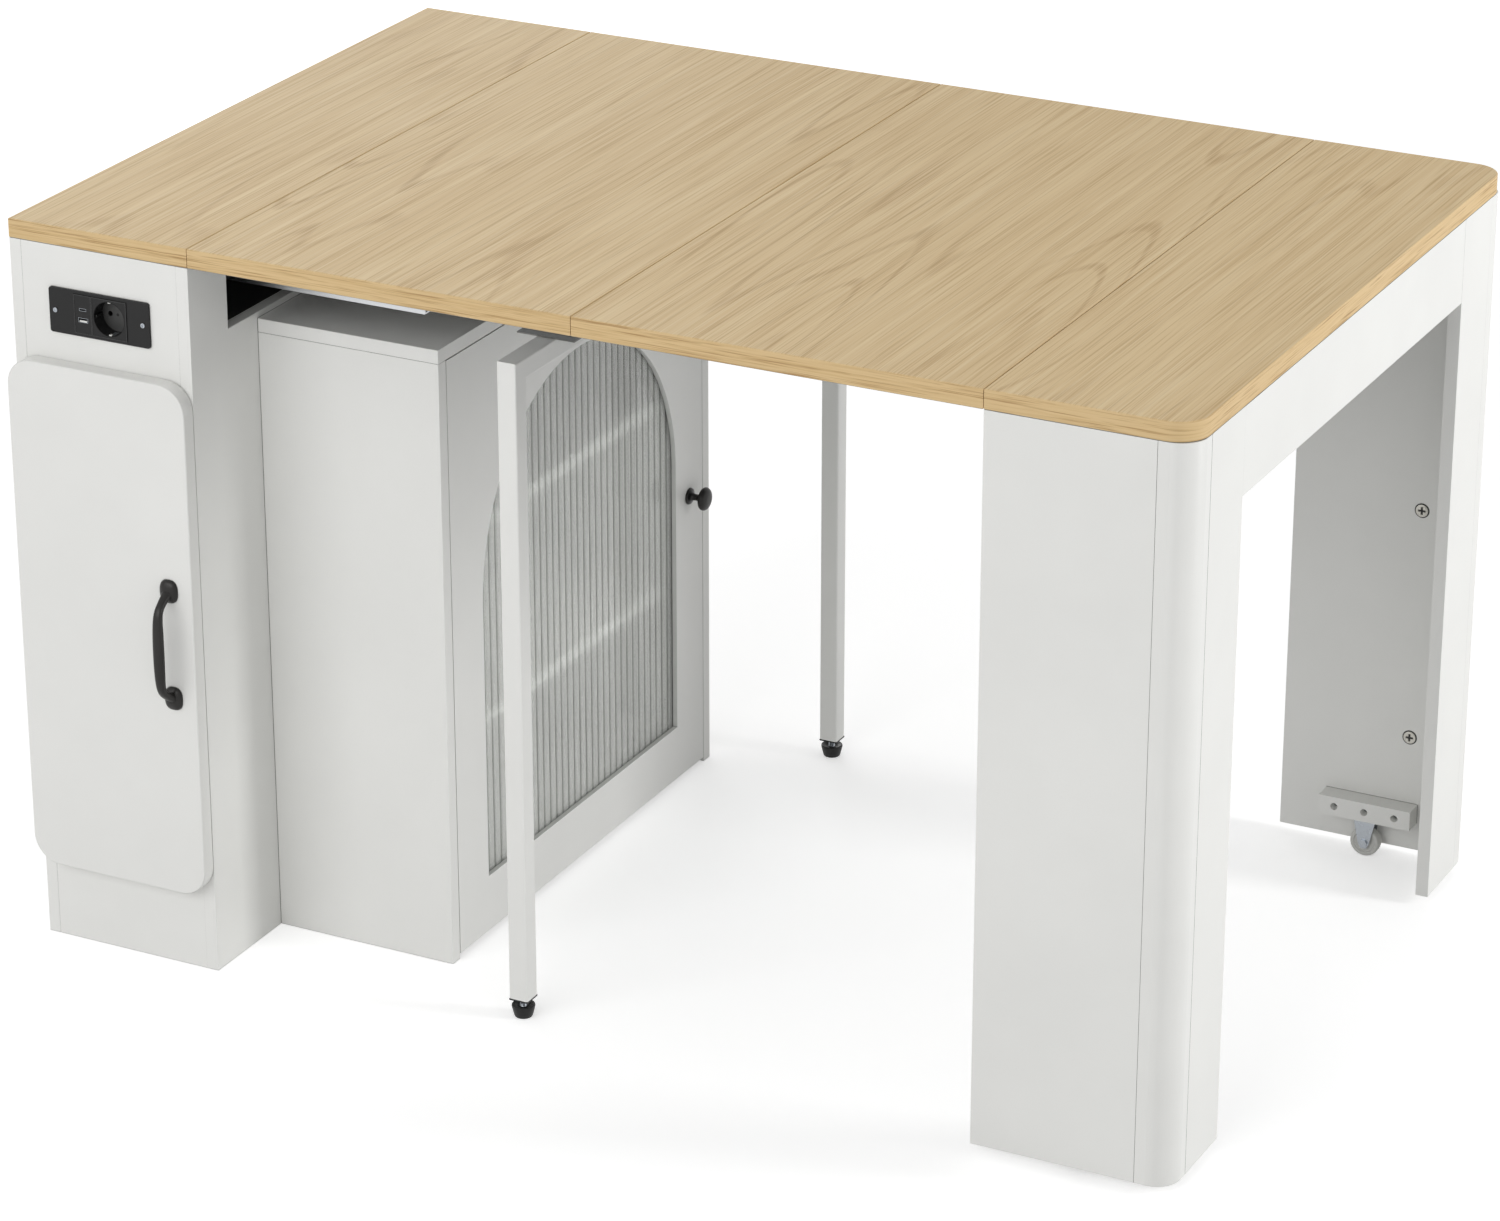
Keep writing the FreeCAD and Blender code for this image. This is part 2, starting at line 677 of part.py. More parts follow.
def make_cabinet():
    depth = "cabinet_front - tower_depth"
    side_height = "cabinet_height - cabinet_board"
    keep("cabinet_near_side", box("cabinet_near_side", ("tower_depth", "cabinet_inset", "0"),
                                  (depth, "cabinet_board", side_height)))
    keep("cabinet_far_side", box("cabinet_far_side",
                                 ("tower_depth", mirrored("cabinet_inset", "cabinet_board"), "0"),
                                 (depth, "cabinet_board", side_height)))
    keep("cabinet_top", box("cabinet_top", ("tower_depth", "cabinet_inset", side_height),
                            (depth, "cabinet_width", "cabinet_board")))
    shelf_depth = "cabinet_door_back - cabinet_back_gap - tower_depth"
    shelf = (shelf_depth, "cabinet_hollow", "cabinet_board")
    inside = "cabinet_inset + cabinet_board"
    keep("cabinet_bottom", box("cabinet_bottom", ("tower_depth", inside, "cabinet_door_lift"), shelf))
    room = "(cabinet_height - 2 * cabinet_board - cabinet_door_lift)"
    bay = "(" + room + " - 2 * cabinet_board) / 3"
    shelves = []
    for level in (1, 2):
        height = "cabinet_door_lift + " + str(level) + " * (cabinet_board + " + bay + ")"
        shelves.append(box("cabinet_shelf_" + str(level), ("tower_depth", inside, height), shelf))
    keep("cabinet_shelves", group("cabinet_shelves", shelves))


make_cabinet()


# Glazed door with one arched window

def arched_block(name, back, depth, margin):
    """The window's shape, grown by a margin: a rectangle with a half round on top."""
    radius = "(window_radius + " + margin + ")"
    low = box(name + "_low", (back, "table_width / 2 - " + radius, "window_bottom - (" + margin + ")"),
              (depth, "2 * " + radius, "window_spring - window_bottom + " + margin))
    high = cylinder(name + "_arch", (back, "table_width / 2", "window_spring"), radius, depth, ALONG_X)
    return fuse(name, [low, high])


def make_arched_door():
    board = box("door_board_glazed", ("cabinet_door_back", "cabinet_door_edge", "cabinet_door_lift"),
                ("door_board", "cabinet_door_width", "cabinet_door_height"))
    tools = [arched_block("window_hole", "cabinet_door_back - overrun", "door_board + 2 * overrun", "0"),
             arched_block("window_rebate", "cabinet_door_back - overrun",
                          "door_board - front_lip + overrun", "rebate_width")]
    knob_y = "table_width / 2 + window_radius + knob_from_window"
    cups = []
    arms = []
    cup_y = "cabinet_door_edge + hinge_cup_inset"
    for level, z in (("low", "cabinet_door_lift + hinge_from_end"),
                     ("high", "cabinet_door_lift + cabinet_door_height - hinge_from_end")):
        tools.append(cylinder("cabinet_cup_bore_" + level, ("cabinet_door_back - overrun", cup_y, z),
                              "hinge_cup_radius", "hinge_cup_depth + overrun", ALONG_X))
        outer = cylinder("cabinet_cup_" + level, ("cabinet_door_back", cup_y, z), "hinge_cup_radius",
                         "hinge_cup_depth", ALONG_X)
        flange = box("cabinet_flange_" + level, ("cabinet_door_back - hinge_flange_thick",
                                                 cup_y + " - hinge_flange_width / 2",
                                                 z + " - hinge_flange_length / 2"),
                     ("hinge_flange_thick", "hinge_flange_width", "hinge_flange_length"))
        hollow = cylinder("cabinet_cup_hollow_" + level, ("cabinet_door_back - overrun", cup_y, z),
                          "hinge_cup_radius - hinge_cup_wall", "hinge_cup_depth - hinge_cup_wall + overrun",
                          ALONG_X)
        blank = fuse("cabinet_cup_blank_" + level, [outer, flange])
        cups.append(cut("cabinet_hinge_cup_" + level, blank, [hollow]))
        back = "cabinet_door_back - shelf_setback - hinge_plate_length"
        wall = "cabinet_inset + cabinet_board"
        plate = box("cabinet_hinge_plate_" + level, (back, wall, z + " - hinge_plate_height / 2"),
                    ("hinge_plate_length", "hinge_plate_thick", "hinge_plate_height"))
        arm = box("cabinet_hinge_arm_" + level, (back, wall + " + hinge_plate_thick",
                                                 z + " - hinge_arm_width / 2"),
                  ("hinge_plate_length + shelf_setback - hinge_play", "hinge_arm_height",
                   "hinge_arm_width"))
        arms.append(fuse("cabinet_hinge_arm_plate_" + level, [plate, arm]))
    keep("arched_door", cut("arched_door", board, tools))
    keep("cabinet_hinge_cups", group("cabinet_hinge_cups", cups))
    keep("cabinet_hinge_arms", group("cabinet_hinge_arms", arms))
    bead_thick = "door_board - front_lip - glass_thick"
    bead_outer = arched_block("bead_outer", "cabinet_door_back", bead_thick, "rebate_width - glass_clearance")
    bead_inner = arched_block("bead_inner", "cabinet_door_back - overrun", bead_thick + " + 2 * overrun", "0")
    keep("glass_bead", cut("glass_bead", bead_outer, [bead_inner]))
    # turned knob: rosette, neck and head
    neck_end = "knob_rosette_thick + knob_neck_length"
    head_end = neck_end + " + knob_head_thick"
    loop = [("0", "0"), ("knob_rosette_radius", "0"), ("knob_rosette_radius", "knob_rosette_thick"),
            ("knob_neck_radius", "knob_rosette_thick"), ("knob_neck_radius", neck_end),
            ("knob_head_radius", neck_end), ("knob_head_radius", head_end), ("0", head_end)]
    keep("door_knob", turned("door_knob", loop, ("cabinet_front", knob_y, "knob_height"), ALONG_X))


make_arched_door()


def make_glass():
    """Fluted glass: a row of round ribs on the front, flat behind, trimmed to the arch."""
    pitch = number("flute_pitch")
    depth = number("flute_depth")
    front = number("cabinet_front") - number("front_lip")
    back = front - number("glass_thick")
    half = number("window_radius") + number("rebate_width") - number("glass_clearance")
    count = math.ceil(2 * half / pitch) + 2
    middle = number("table_width") / 2
    left = middle - count * pitch / 2
    floor = number("window_bottom") - number("rebate_width") + number("glass_clearance")
    edges = []
    for i in range(count):
        y = left + i * pitch
        edges.append(Part.Arc(Vector(front - depth, y, floor), Vector(front, y + pitch / 2, floor),
                              Vector(front - depth, y + pitch, floor)).toShape())
    right = left + count * pitch
    edges.append(Part.LineSegment(Vector(front - depth, right, floor), Vector(back, right, floor)).toShape())
    edges.append(Part.LineSegment(Vector(back, right, floor), Vector(back, left, floor)).toShape())
    edges.append(Part.LineSegment(Vector(back, left, floor), Vector(front - depth, left, floor)).toShape())
    spring = number("window_spring")
    sheet_of_ribs = Part.Face(Part.Wire(edges)).extrude(Z_AXIS * (spring + half - floor + pitch))
    through = front - back + 2 * depth
    lower = Part.makeBox(through, 2 * half, spring - floor, Vector(back - depth, middle - half, floor))
    upper = Part.makeCylinder(half, through, Vector(back - depth, middle, spring), X_AXIS)
    obj = doc.addObject("Part::Feature", "fluted_glass")
    obj.Shape = sheet_of_ribs.common(lower.fuse(upper).removeSplitter())
    obj.Placement = FreeCAD.Placement(Vector(-number("origin_x"), -number("origin_y"), 0), UPRIGHT)
    keep("fluted_glass", obj)


make_glass()


# Rolling gate: leaf four on two legs, tied by an apron

def make_gate():
    height = "under_top - gate_lift"
    wide_start = "seam_three + leaf_gap / 2"
    wide_length = "table_length - gate_post - seam_three - leaf_gap / 2"
    for side in ("near", "far"):
        near = side == "near"

        def level(start, width):
            return start if near else mirrored(start, width)

        keep("gate_" + side + "_wide", box("gate_" + side + "_wide", (wide_start, level("0", "gate_board"),
                                                                      "gate_lift"),
                                           (wide_length, "gate_board", height)))
        post = extruded("gate_" + side + "_post", "XY_Plane", [rectangle("gate_post", "gate_post")], height,
                        ("table_length - gate_post", level("0", "gate_post"), "gate_lift"))

        def corner(edge, bounds):
            edge_y = bounds.YMin if near else bounds.YMax
            return outer_uprights(edge, bounds) and abs(edge.BoundBox.YMin - edge_y) < NEAR

        soften(post, "Fillet", "Radius", "gate_post_round", corner)
        keep("gate_" + side + "_post", post)
        narrow = "narrow_edge - gate_post"
        keep("gate_" + side + "_narrow",
             box("gate_" + side + "_narrow", ("table_length - gate_board", level("gate_post", narrow),
                                              "gate_lift"), ("gate_board", narrow, height)))
    span = "table_width - 2 * narrow_edge"
    keep("gate_apron", box("gate_apron", ("table_length - gate_board", "narrow_edge", "apron_bottom"),
                           ("gate_board", span, "under_top - apron_bottom")))


make_gate()


# Wheel blocks, forks, axles and wheels under the gate's legs

def make_wheels():
    blocks = []
    screws = []
    forks = []
    axles = []
    for side in ("near", "far"):
        near = side == "near"
        block_y = "gate_board" if near else mirrored("gate_board", "block_depth")
        block = box(side + "_block_board", ("wheel_x - block_length / 2", block_y, "block_bottom"),
                    ("block_length", "block_depth", "block_height"))
        tools = []
        for row in (-1, 0, 1):
            x = "wheel_x + " + str(row) + " * block_hole_spacing"
            z = "block_bottom + block_height / 2"
            name = side + "_block_" + str(row + 1)
            if near:
                bore_start = "gate_board + block_depth - block_hole_depth"
                head_start = bore_start
            else:
                bore_start = "table_width - gate_board - block_depth - overrun"
                head_start = "table_width - gate_board - block_depth + block_hole_depth - fixing_head_thick"
            tools.append(cylinder(name + "_bore", (x, bore_start, z), "block_hole_radius",
                                  "block_hole_depth + overrun", ALONG_Y))
            screws.append(hexagon(name + "_screw", (x, head_start, z), "fixing_head / 2",
                                  "fixing_head_thick", ALONG_Y))
        blocks.append(cut(side + "_block", block, tools))
        # fork: a flat top and two cheeks that taper to the axle
        middle = "wheel_y" if near else "table_width - wheel_y"
        crown = box(side + "_fork_crown", ("wheel_x - fork_top_width / 2", middle + " - fork_width / 2",
                                           "block_bottom - fork_thick"),
                    ("fork_top_width", "fork_width", "fork_thick"))
        cheeks = [crown]
        for cheek, shift in (("inner", "-fork_width / 2 + fork_thick"), ("outer", "fork_width / 2")):
            face = middle + " + " + shift
            loop = [("0", "block_bottom - wheel_radius"), ("0", "block_bottom - wheel_radius - fork_thick"),
                    ("fork_top_width / 2 - fork_end_radius", "0"),
                    ("fork_top_width / 2 - fork_end_radius / 2", "-fork_end_radius"),
                    ("fork_top_width / 2 + fork_end_radius / 2", "-fork_end_radius"),
                    ("fork_top_width / 2 + fork_end_radius", "0"),
                    ("fork_top_width", "block_bottom - wheel_radius - fork_thick"),
                    ("fork_top_width", "block_bottom - wheel_radius")]
            cheeks.append(extruded(side + "_fork_" + cheek, "XZ_Plane", [loop], "fork_thick",
                                   ("wheel_x - fork_top_width / 2", face, "wheel_radius")))
        blank = fuse(side + "_fork_blank", cheeks)
        fork_start = middle + " - fork_width / 2"
        bore = cylinder(side + "_fork_bore", ("wheel_x", fork_start + " - overrun", "wheel_radius"),
                        "axle_radius + axle_running", "fork_width + 2 * overrun", ALONG_Y)
        forks.append(cut(side + "_fork", blank, [bore]))
        pin = cylinder(side + "_axle_pin", ("wheel_x", fork_start, "wheel_radius"), "axle_radius",
                       "fork_width", ALONG_Y)
        caps = [pin]
        for cap, start in (("low", "-fork_width / 2 - axle_head_thick"), ("high", "fork_width / 2")):
            at = ("wheel_x", middle + " + " + start, "wheel_radius")
            caps.append(hexagon(side + "_axle_" + cap, at, "axle_head_radius", "axle_head_thick", ALONG_Y))
        axles.append(fuse(side + "_axle", caps))
        # wheel: a plain roller with its bore
        bore_radius = "axle_radius + axle_running"
        loop = [(bore_radius, "-wheel_width / 2"), ("wheel_radius", "-wheel_width / 2"),
                ("wheel_radius", "wheel_width / 2"), (bore_radius, "wheel_width / 2")]
        at = ("wheel_x", middle, "wheel_radius")
        keep(side + "_wheel", turned(side + "_wheel", loop, at, ALONG_Y))
    keep("wheel_blocks", group("wheel_blocks", blocks))
    keep("block_screws", group("block_screws", screws))
    keep("wheel_brackets", group("wheel_brackets", forks))
    keep("wheel_axles", group("wheel_axles", axles))


make_wheels()


# Middle support: an inverted U of square tube on two levelling feet

def make_middle_frame():
    left = "frame_x - frame_tube / 2"
    span = "table_width - 2 * frame_inset"
    tall = "frame_top - frame_lift"
    near_leg = box("frame_near_leg", (left, "frame_inset", "frame_lift"), ("frame_tube", "frame_tube", tall))
    far_leg = box("frame_far_leg", (left, mirrored("frame_inset", "frame_tube"), "frame_lift"),
                  ("frame_tube", "frame_tube", tall))
    bar = box("frame_bar", (left, "frame_inset", "frame_top - frame_tube"),
              ("frame_tube", span, "frame_tube"))
    blank = fuse("frame_blank", [near_leg, bar, far_leg])

    tube = number("frame_tube")

    def long_edges(edge):
        """The tube's long edges, on the outside and the inside of the U."""
        return straight_along(edge, Z_AXIS) or straight_along(edge, Y_AXIS) and edge.Length > 2 * tube

    rounded = fillet("frame_rounded", blank, "frame_corner", long_edges)
    hollow = "frame_tube - 2 * frame_wall"
    hollows = [box("frame_bar_hollow", (left + " + frame_wall", "frame_inset + frame_wall",
                                        "frame_top - frame_tube + frame_wall"),
                   (hollow, span + " - 2 * frame_wall", hollow))]
    plugs = []
    for side in ("near", "far"):
        near = side == "near"
        y = "frame_inset" if near else mirrored("frame_inset", "frame_tube")
        hollows.append(box("frame_" + side + "_hollow", (left + " + frame_wall", y + " + frame_wall",
                                                        "frame_lift - overrun"),
                           (hollow, hollow, tall + " - frame_wall + overrun")))
        flange = box(side + "_plug_flange", (left, y, "frame_lift - plug_flange"),
                     ("frame_tube", "frame_tube", "plug_flange"))
        core = box(side + "_plug_core", (left + " + frame_wall", y + " + frame_wall", "frame_lift"),
                   (hollow, hollow, "plug_height"))
        bore_at = ("frame_x", y + " + frame_tube / 2", "frame_lift - plug_flange - overrun")
        bore = cylinder(side + "_plug_bore", bore_at, "stem_radius + stem_running",
                        "plug_height + plug_flange + 2 * overrun")
        plugs.append(cut(side + "_plug", fuse(side + "_plug_blank", [flange, core]), [bore]))
        # foot: a black glide on a stem
        loop = [("0", "0"), ("foot_radius", "0"), ("foot_radius", "foot_height"),
                ("stem_radius", "foot_height"), ("stem_radius", "stem_top"), ("0", "stem_top")]
        keep(side + "_foot", turned(side + "_foot", loop, ("frame_x", y + " + frame_tube / 2", "0")))
    keep("middle_frame", cut("middle_frame", rounded, hollows))
    keep("leg_plugs", group("leg_plugs", plugs))


make_middle_frame()


# Telescopic rails: side-by-side profiles, each with a dovetail groove behind and a tongue in front

def rail_section():
    """The extrusion's section: outer wall with groove and tongue, and two hollow chambers."""
    mid = "rail_height / 2"
    groove_depth = "tongue_depth + tongue_play - rail_play"
    # the groove keeps the play from the next rail's tongue on its slanted flanks too
    root = "tongue_root / 2 + tongue_flare * rail_play + tongue_play"
    tip = "tongue_tip / 2 + tongue_flare * tongue_play + tongue_play"
    front = "rail_thick"
    nose = "rail_thick + tongue_depth"
    outline = [("0", "0"), (front, "0"),
               (front, mid + " - tongue_root / 2"), (nose, mid + " - tongue_tip / 2"),
               (nose, mid + " + tongue_tip / 2"), (front, mid + " + tongue_root / 2"),
               (front, "rail_height"), ("0", "rail_height"),
               ("0", mid + " + " + root), (groove_depth, mid + " + " + tip),
               (groove_depth, mid + " - (" + tip + ")"), ("0", mid + " - (" + root + ")")]
    chambers = []
    inner = "rail_thick - rail_wall"
    for low, high in (("rail_wall", mid + " - " + "(" + tip + ") - rail_wall"),
                      (mid + " + " + tip + " + rail_wall", "rail_height - rail_wall")):
        chambers.append([("rail_wall", low), (inner, low), (inner, high), ("rail_wall", high)])
    return [outline] + chambers


def make_rail(name, order, start, length):
    """One stage: a near profile and the far one, which is the same profile turned over."""
    near_y = "rail_inset + " + str(order) + " * rail_pitch"
    near = extruded(name + "_near", "YZ_Plane", rail_section(), length, (start, near_y, "rail_bottom"))
    far_at = (start, "table_width - (" + near_y + ")", "rail_bottom + rail_height")
    far = extruded(name + "_far", "YZ_Plane", rail_section(), length, far_at, Rotation(X_AXIS, HALF))
    keep(name, group(name, [near, far]))


def make_rails():
    make_rail("rail_stage_fixed", 0, "tower_board + rail_back_gap", "fixed_rail_length")
    make_rail("rail_stage_frame", 1, "frame_rail_end - rail_length", "rail_length")
    make_rail("rail_stage_second", 2, "second_rail_end - rail_length", "rail_length")
    make_rail("rail_stage_third", 3, "third_rail_end - rail_length", "rail_length")
    make_rail("rail_stage_gate", 4, "gate_rail_start", "rail_length")
    supports = []
    saddles = []
    wide = "rail_thick + 2 * support_side - rail_play"
    for side in ("near", "far"):
        near = side == "near"
        start = "rail_inset - 2 * support_side + rail_play"
        y = start if near else mirrored(start, wide)
        supports.append(box(side + "_rail_support", ("support_start", y, "slot_floor"),
                            ("support_length", wide, "rail_bottom - slot_floor")))
        y = "rail_inset" if near else mirrored("rail_inset", "saddle_width")
        plate = box(side + "_saddle_plate", ("frame_x - saddle_length / 2", y, "frame_top"),
                    ("saddle_length", "saddle_width", "saddle_plate"))
        pad_start = "rail_inset + rail_pitch"
        y = pad_start if near else mirrored(pad_start, "rail_thick")
        pad = box(side + "_saddle_pad", ("frame_x - saddle_length / 2", y, "frame_top"),
                  ("saddle_length", "rail_thick", "rail_bottom - frame_top"))
        saddles.append(fuse(side + "_saddle", [plate, pad]))
    keep("rail_supports", group("rail_supports", supports))
    keep("rail_saddles", group("rail_saddles", saddles))


make_rails()


def check_and_write():
    """Check every object and every piece, then write the pieces."""
    doc.recompute()
    faults = []
    for obj in doc.Objects:
        if "Invalid" in obj.State or "Error" in obj.State:
            faults.append(obj.Name + " " + str(obj.State))
    for name, obj in NODES.items():
        if obj.Shape.isNull() or not obj.Shape.isValid() or not obj.Shape.Solids:
            faults.append(name + " has no valid solid")
    if faults:
        raise RuntimeError("; ".join(faults))
    os.makedirs("parts", exist_ok=True)
    for name, obj in NODES.items():
        obj.Shape.exportStep("parts/" + name + ".step")
    print(len(NODES), "pieces written")


check_and_write()
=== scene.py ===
import json
import math
import bmesh
import bpy
from mathutils import Euler, Matrix, Vector


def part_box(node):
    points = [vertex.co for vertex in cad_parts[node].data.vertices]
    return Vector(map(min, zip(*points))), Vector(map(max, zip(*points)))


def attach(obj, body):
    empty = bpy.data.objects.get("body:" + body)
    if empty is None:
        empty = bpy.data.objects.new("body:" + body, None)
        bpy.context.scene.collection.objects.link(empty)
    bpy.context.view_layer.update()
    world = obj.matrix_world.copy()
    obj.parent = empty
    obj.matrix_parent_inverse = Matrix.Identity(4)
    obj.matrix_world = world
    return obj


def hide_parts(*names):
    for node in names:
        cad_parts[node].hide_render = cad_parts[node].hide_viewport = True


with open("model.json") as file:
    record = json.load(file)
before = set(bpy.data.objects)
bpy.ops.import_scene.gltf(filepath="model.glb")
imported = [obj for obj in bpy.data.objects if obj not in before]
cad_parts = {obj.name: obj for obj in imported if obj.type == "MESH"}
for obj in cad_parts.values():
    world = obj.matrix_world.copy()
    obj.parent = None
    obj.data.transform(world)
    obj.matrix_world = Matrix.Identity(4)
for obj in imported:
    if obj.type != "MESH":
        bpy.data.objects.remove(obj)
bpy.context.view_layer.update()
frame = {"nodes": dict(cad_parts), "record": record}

NODES = frame["nodes"]

# Lengths are in millimetres, as in the part's source, unless a name ends in _M. MM turns them to metres.
MM = 0.001


def box_mm(node):
    """A CAD node's lowest and highest corners, in millimetres."""
    low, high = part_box(node)
    return Vector(low) / MM, Vector(high) / MM


def front_mm(node):
    """The middle of a CAD node's front, in millimetres."""
    low, high = box_mm(node)
    return Vector(((low.x + high.x) / 2, low.y, (low.z + high.z) / 2))


# Colours: sRGB values from 0 to 255, as they are seen, turned to linear light

def linear(red, green, blue):
    def one(value):
        share = value / 255
        return share / 12.92 if share <= 0.04045 else ((share + 0.055) / 1.055) ** 2.4
    return (one(red), one(green), one(blue), 1.0)


def dimmed(colour, share):
    """A colour with so large a share of its light left."""
    return tuple(channel * share for channel in colour[:3]) + (1.0,)


# Node helpers

class Tree:
    """The node tree of a material or a world, with short calls for adding and linking nodes."""

    def __init__(self, owner):
        owner.use_nodes = True
        self.owner = owner
        self.nodes = owner.node_tree.nodes
        self.links = owner.node_tree.links

    def add(self, kind, inputs=(), **settings):
        node = self.nodes.new("ShaderNode" + kind)
        for key, value in settings.items():
            setattr(node, key, value)
        for key, value in dict(inputs).items():
            self.set(node, key, value)
        return node

    def set(self, node, key, value):
        socket = node.inputs[key]
        if isinstance(value, bpy.types.NodeSocket):
            self.links.new(value, socket)
        else:
            socket.default_value = value

    def place(self, scale=(1, 1, 1), shift=(0, 0, 0)):
        """Object coordinates, scaled and shifted."""
        coordinates = self.add("TexCoord").outputs["Object"]
        mapping = self.add("Mapping", {"Vector": coordinates, "Scale": scale, "Location": shift})
        return mapping.outputs["Vector"]

    def noise(self, vector, scale=1.0, detail=2.0, roughness=0.5, distortion=0.0):
        node = self.add("TexNoise", {"Vector": vector, "Scale": scale, "Detail": detail,
                                     "Roughness": roughness, "Distortion": distortion})
        return node.outputs["Fac"]

    def ramp(self, factor, stops):
        node = self.add("ValToRGB", {"Fac": factor})
        elements = node.color_ramp.elements
        while len(elements) < len(stops):
            elements.new(1.0)
        for element, (position, colour) in zip(elements, stops):
            element.position = position
            element.color = colour
        return node.outputs["Color"]

    def span(self, value, low, high, new_low=0.0, new_high=1.0):
        """The value's way from low to high, turned to the way from new_low to new_high."""
        node = self.add("MapRange", {"Value": value, "From Min": low, "From Max": high,
                                     "To Min": new_low, "To Max": new_high})
        return node.outputs["Result"]

    def math(self, operation, first, second=0.0):
        return self.add("Math", {0: first, 1: second}, operation=operation).outputs[0]

    def blend(self, factor, first, second):
        """Two colours mixed. The node takes them at sockets 6 and 7 and gives the result at output 2."""
        return self.add("Mix", {0: factor, 6: first, 7: second}, data_type="RGBA").outputs[2]

    def bump(self, height, strength, distance):
        node = self.add("Bump", {"Height": height, "Strength": strength, "Distance": distance})
        return node.outputs["Normal"]

    def mix_shaders(self, share, first, second):
        return self.add("MixShader", {0: share, 1: first, 2: second}).outputs["Shader"]

    def seen(self):
        """1 for rays from the eye, off gloss or through glass, and 0 for rays that carry light."""
        path = self.add("LightPath")
        direct = self.math("MAXIMUM", path.outputs["Is Camera Ray"], path.outputs["Is Glossy Ray"])
        return self.math("MAXIMUM", direct, path.outputs["Is Transmission Ray"])

    def surface(self, **values):
        """Set the main shader's sockets, named here with _ for each space, and return the material."""
        for key, value in values.items():
            self.set(self.nodes["Principled BSDF"], key.replace("_", " "), value)
        return self.owner


def new_finish(name):
    return Tree(bpy.data.materials.new(name))


# Patterns. A GRAIN is how often a pattern repeats in a metre, in all directions or along X, Y and Z.
# A SHOW has two values of a pattern and the shares it covers at them, 0 and 1 if left out.

# ranges of a noise: the usual one, and a wider one for the skin of a surface
CLOUDS = (0.3, 0.7)
SKIN = (0.2, 0.8)
FINE_BUMP_M = 0.0002


# White boards

BOARD_DULL = linear(229, 229, 226)
BOARD_CLEAN = linear(233, 233, 230)
BOARD_SPECK = linear(214, 214, 210)
# painted shade: the dark colour given to grooves and creases between boards
BOARD_CREASE_SHADE = linear(88, 87, 84)
TONE_GRAIN = 6.0
SPECK_GRAIN = 900.0
SPECK_SHOW = (0.62, 0.8, 0.0, 0.35)
PEBBLE_GRAIN = 1400.0
PEBBLE_BUMP_M = 0.0003
PEBBLE_BUMP_SHARE = 0.06
# painted shade: how far the occlusion looks into grooves and creases, and the span over which it darkens the
# boards
CREASE_SHADE_REACH_M = 0.0012
CREASE_SHADE_SHOW = (0.45, 0.97, 0.85, 0.0)
BOARD_ROUGHNESS = (0.36, 0.48)


def melamine():
    """White melamine on board: a fine pebbled skin, a little uneven, with painted shade darkening every
    groove and crease.
    """
    tree = new_finish("white_melamine_finish")
    spot = tree.place()
    tone = tree.noise(spot, TONE_GRAIN, detail=3.0, roughness=0.55)
    speck = tree.noise(spot, SPECK_GRAIN, roughness=0.6)
    pebble = tree.noise(spot, PEBBLE_GRAIN, detail=1.0)
    colour = tree.blend(tree.span(tone, *CLOUDS), BOARD_DULL, BOARD_CLEAN)
    colour = tree.blend(tree.span(speck, *SPECK_SHOW), colour, BOARD_SPECK)
    # painted shade: ambient occlusion darkens the colour in every groove and crease between boards
    open_air = tree.add("AmbientOcclusion", {"Distance": CREASE_SHADE_REACH_M}, samples=8).outputs["AO"]
    colour = tree.blend(tree.span(open_air, *CREASE_SHADE_SHOW), colour, BOARD_CREASE_SHADE)
    return tree.surface(Base_Color=colour, Roughness=tree.span(speck, *SKIN, *BOARD_ROUGHNESS),
                        Normal=tree.bump(pebble, PEBBLE_BUMP_SHARE, PEBBLE_BUMP_M))


# Oak leaves

OAK_LIGHT = linear(240, 220, 180)
OAK_PALE = linear(231, 205, 158)
OAK_MID = linear(224, 196, 148)
OAK_DEEP = linear(218, 189, 140)
OAK_LINE = linear(178, 142, 92)
BAND_PALE = linear(218, 190, 143)
BAND_MID = linear(208, 178, 129)
BAND_DEEP = linear(166, 130, 83)
# painted shade: the darker greys given to the leaves' undersides
UNDERSIDE_SHADE_DARK = linear(128, 127, 124)
UNDERSIDE_SHADE_PALE = linear(142, 141, 138)
STREAK_GRAIN = (70.0, 1.3, 20.0)
STREAK_STOPS = [(0.26, OAK_DEEP), (0.44, OAK_MID), (0.70, OAK_PALE)]
PALE_GRAIN = (340.0, 2.8, 20.0)
PALE_SHOW = (0.50, 0.66, 0.0, 0.40)
DARK_GRAIN = (570.0, 4.8, 21.0)
DARK_SHOW = (0.51, 0.66, 0.0, 0.42)
RING_GRAIN = (6.5, 0.75, 5.0)
RING_TURNS = 85.0
RING_SHOW = (0.72, 1.0)
PATCH_GRAIN = (4.0, 1.6, 4.0)
PATCH_SHOW = (0.45, 0.62)
RING_TICK_SHOW = (0.38, 0.60, 0.12, 0.54)
LAYER_GRAIN = (4.0, 4.0, 330.0)
LAYER_STOPS = [(0.32, BAND_MID), (0.50, BAND_PALE), (0.66, BAND_MID)]
BAND_TICK_GRAIN = (11.0, 11.0, 620.0)
BAND_TICK_SHOW = (0.53, 0.68, 0.0, 0.85)
UNDERSIDE_SHADE_GRAIN = (9.0, 9.0, 9.0)
# the face and the underside's painted shade come in by the upward part of a surface's direction, the edge
# band lies between
FACE_SHOW = (0.5, 0.8)
UNDERSIDE_SHADE_SHOW = (-0.8, -0.5, 1.0, 0.0)
OAK_ROUGHNESS = (0.46, 0.58)
OAK_GLOSS = 0.25
OAK_BUMP_SHARE = 0.10
# each leaf is cut from another place of the pattern
LEAF_SHIFTS = {
    "leaf_one": (3.1, 0.2, 1.7),
    "leaf_two": (11.4, 4.6, 5.2),
    "leaf_three": (23.9, 9.3, 8.8),
    "leaf_four": (37.2, 2.7, 13.1),
}


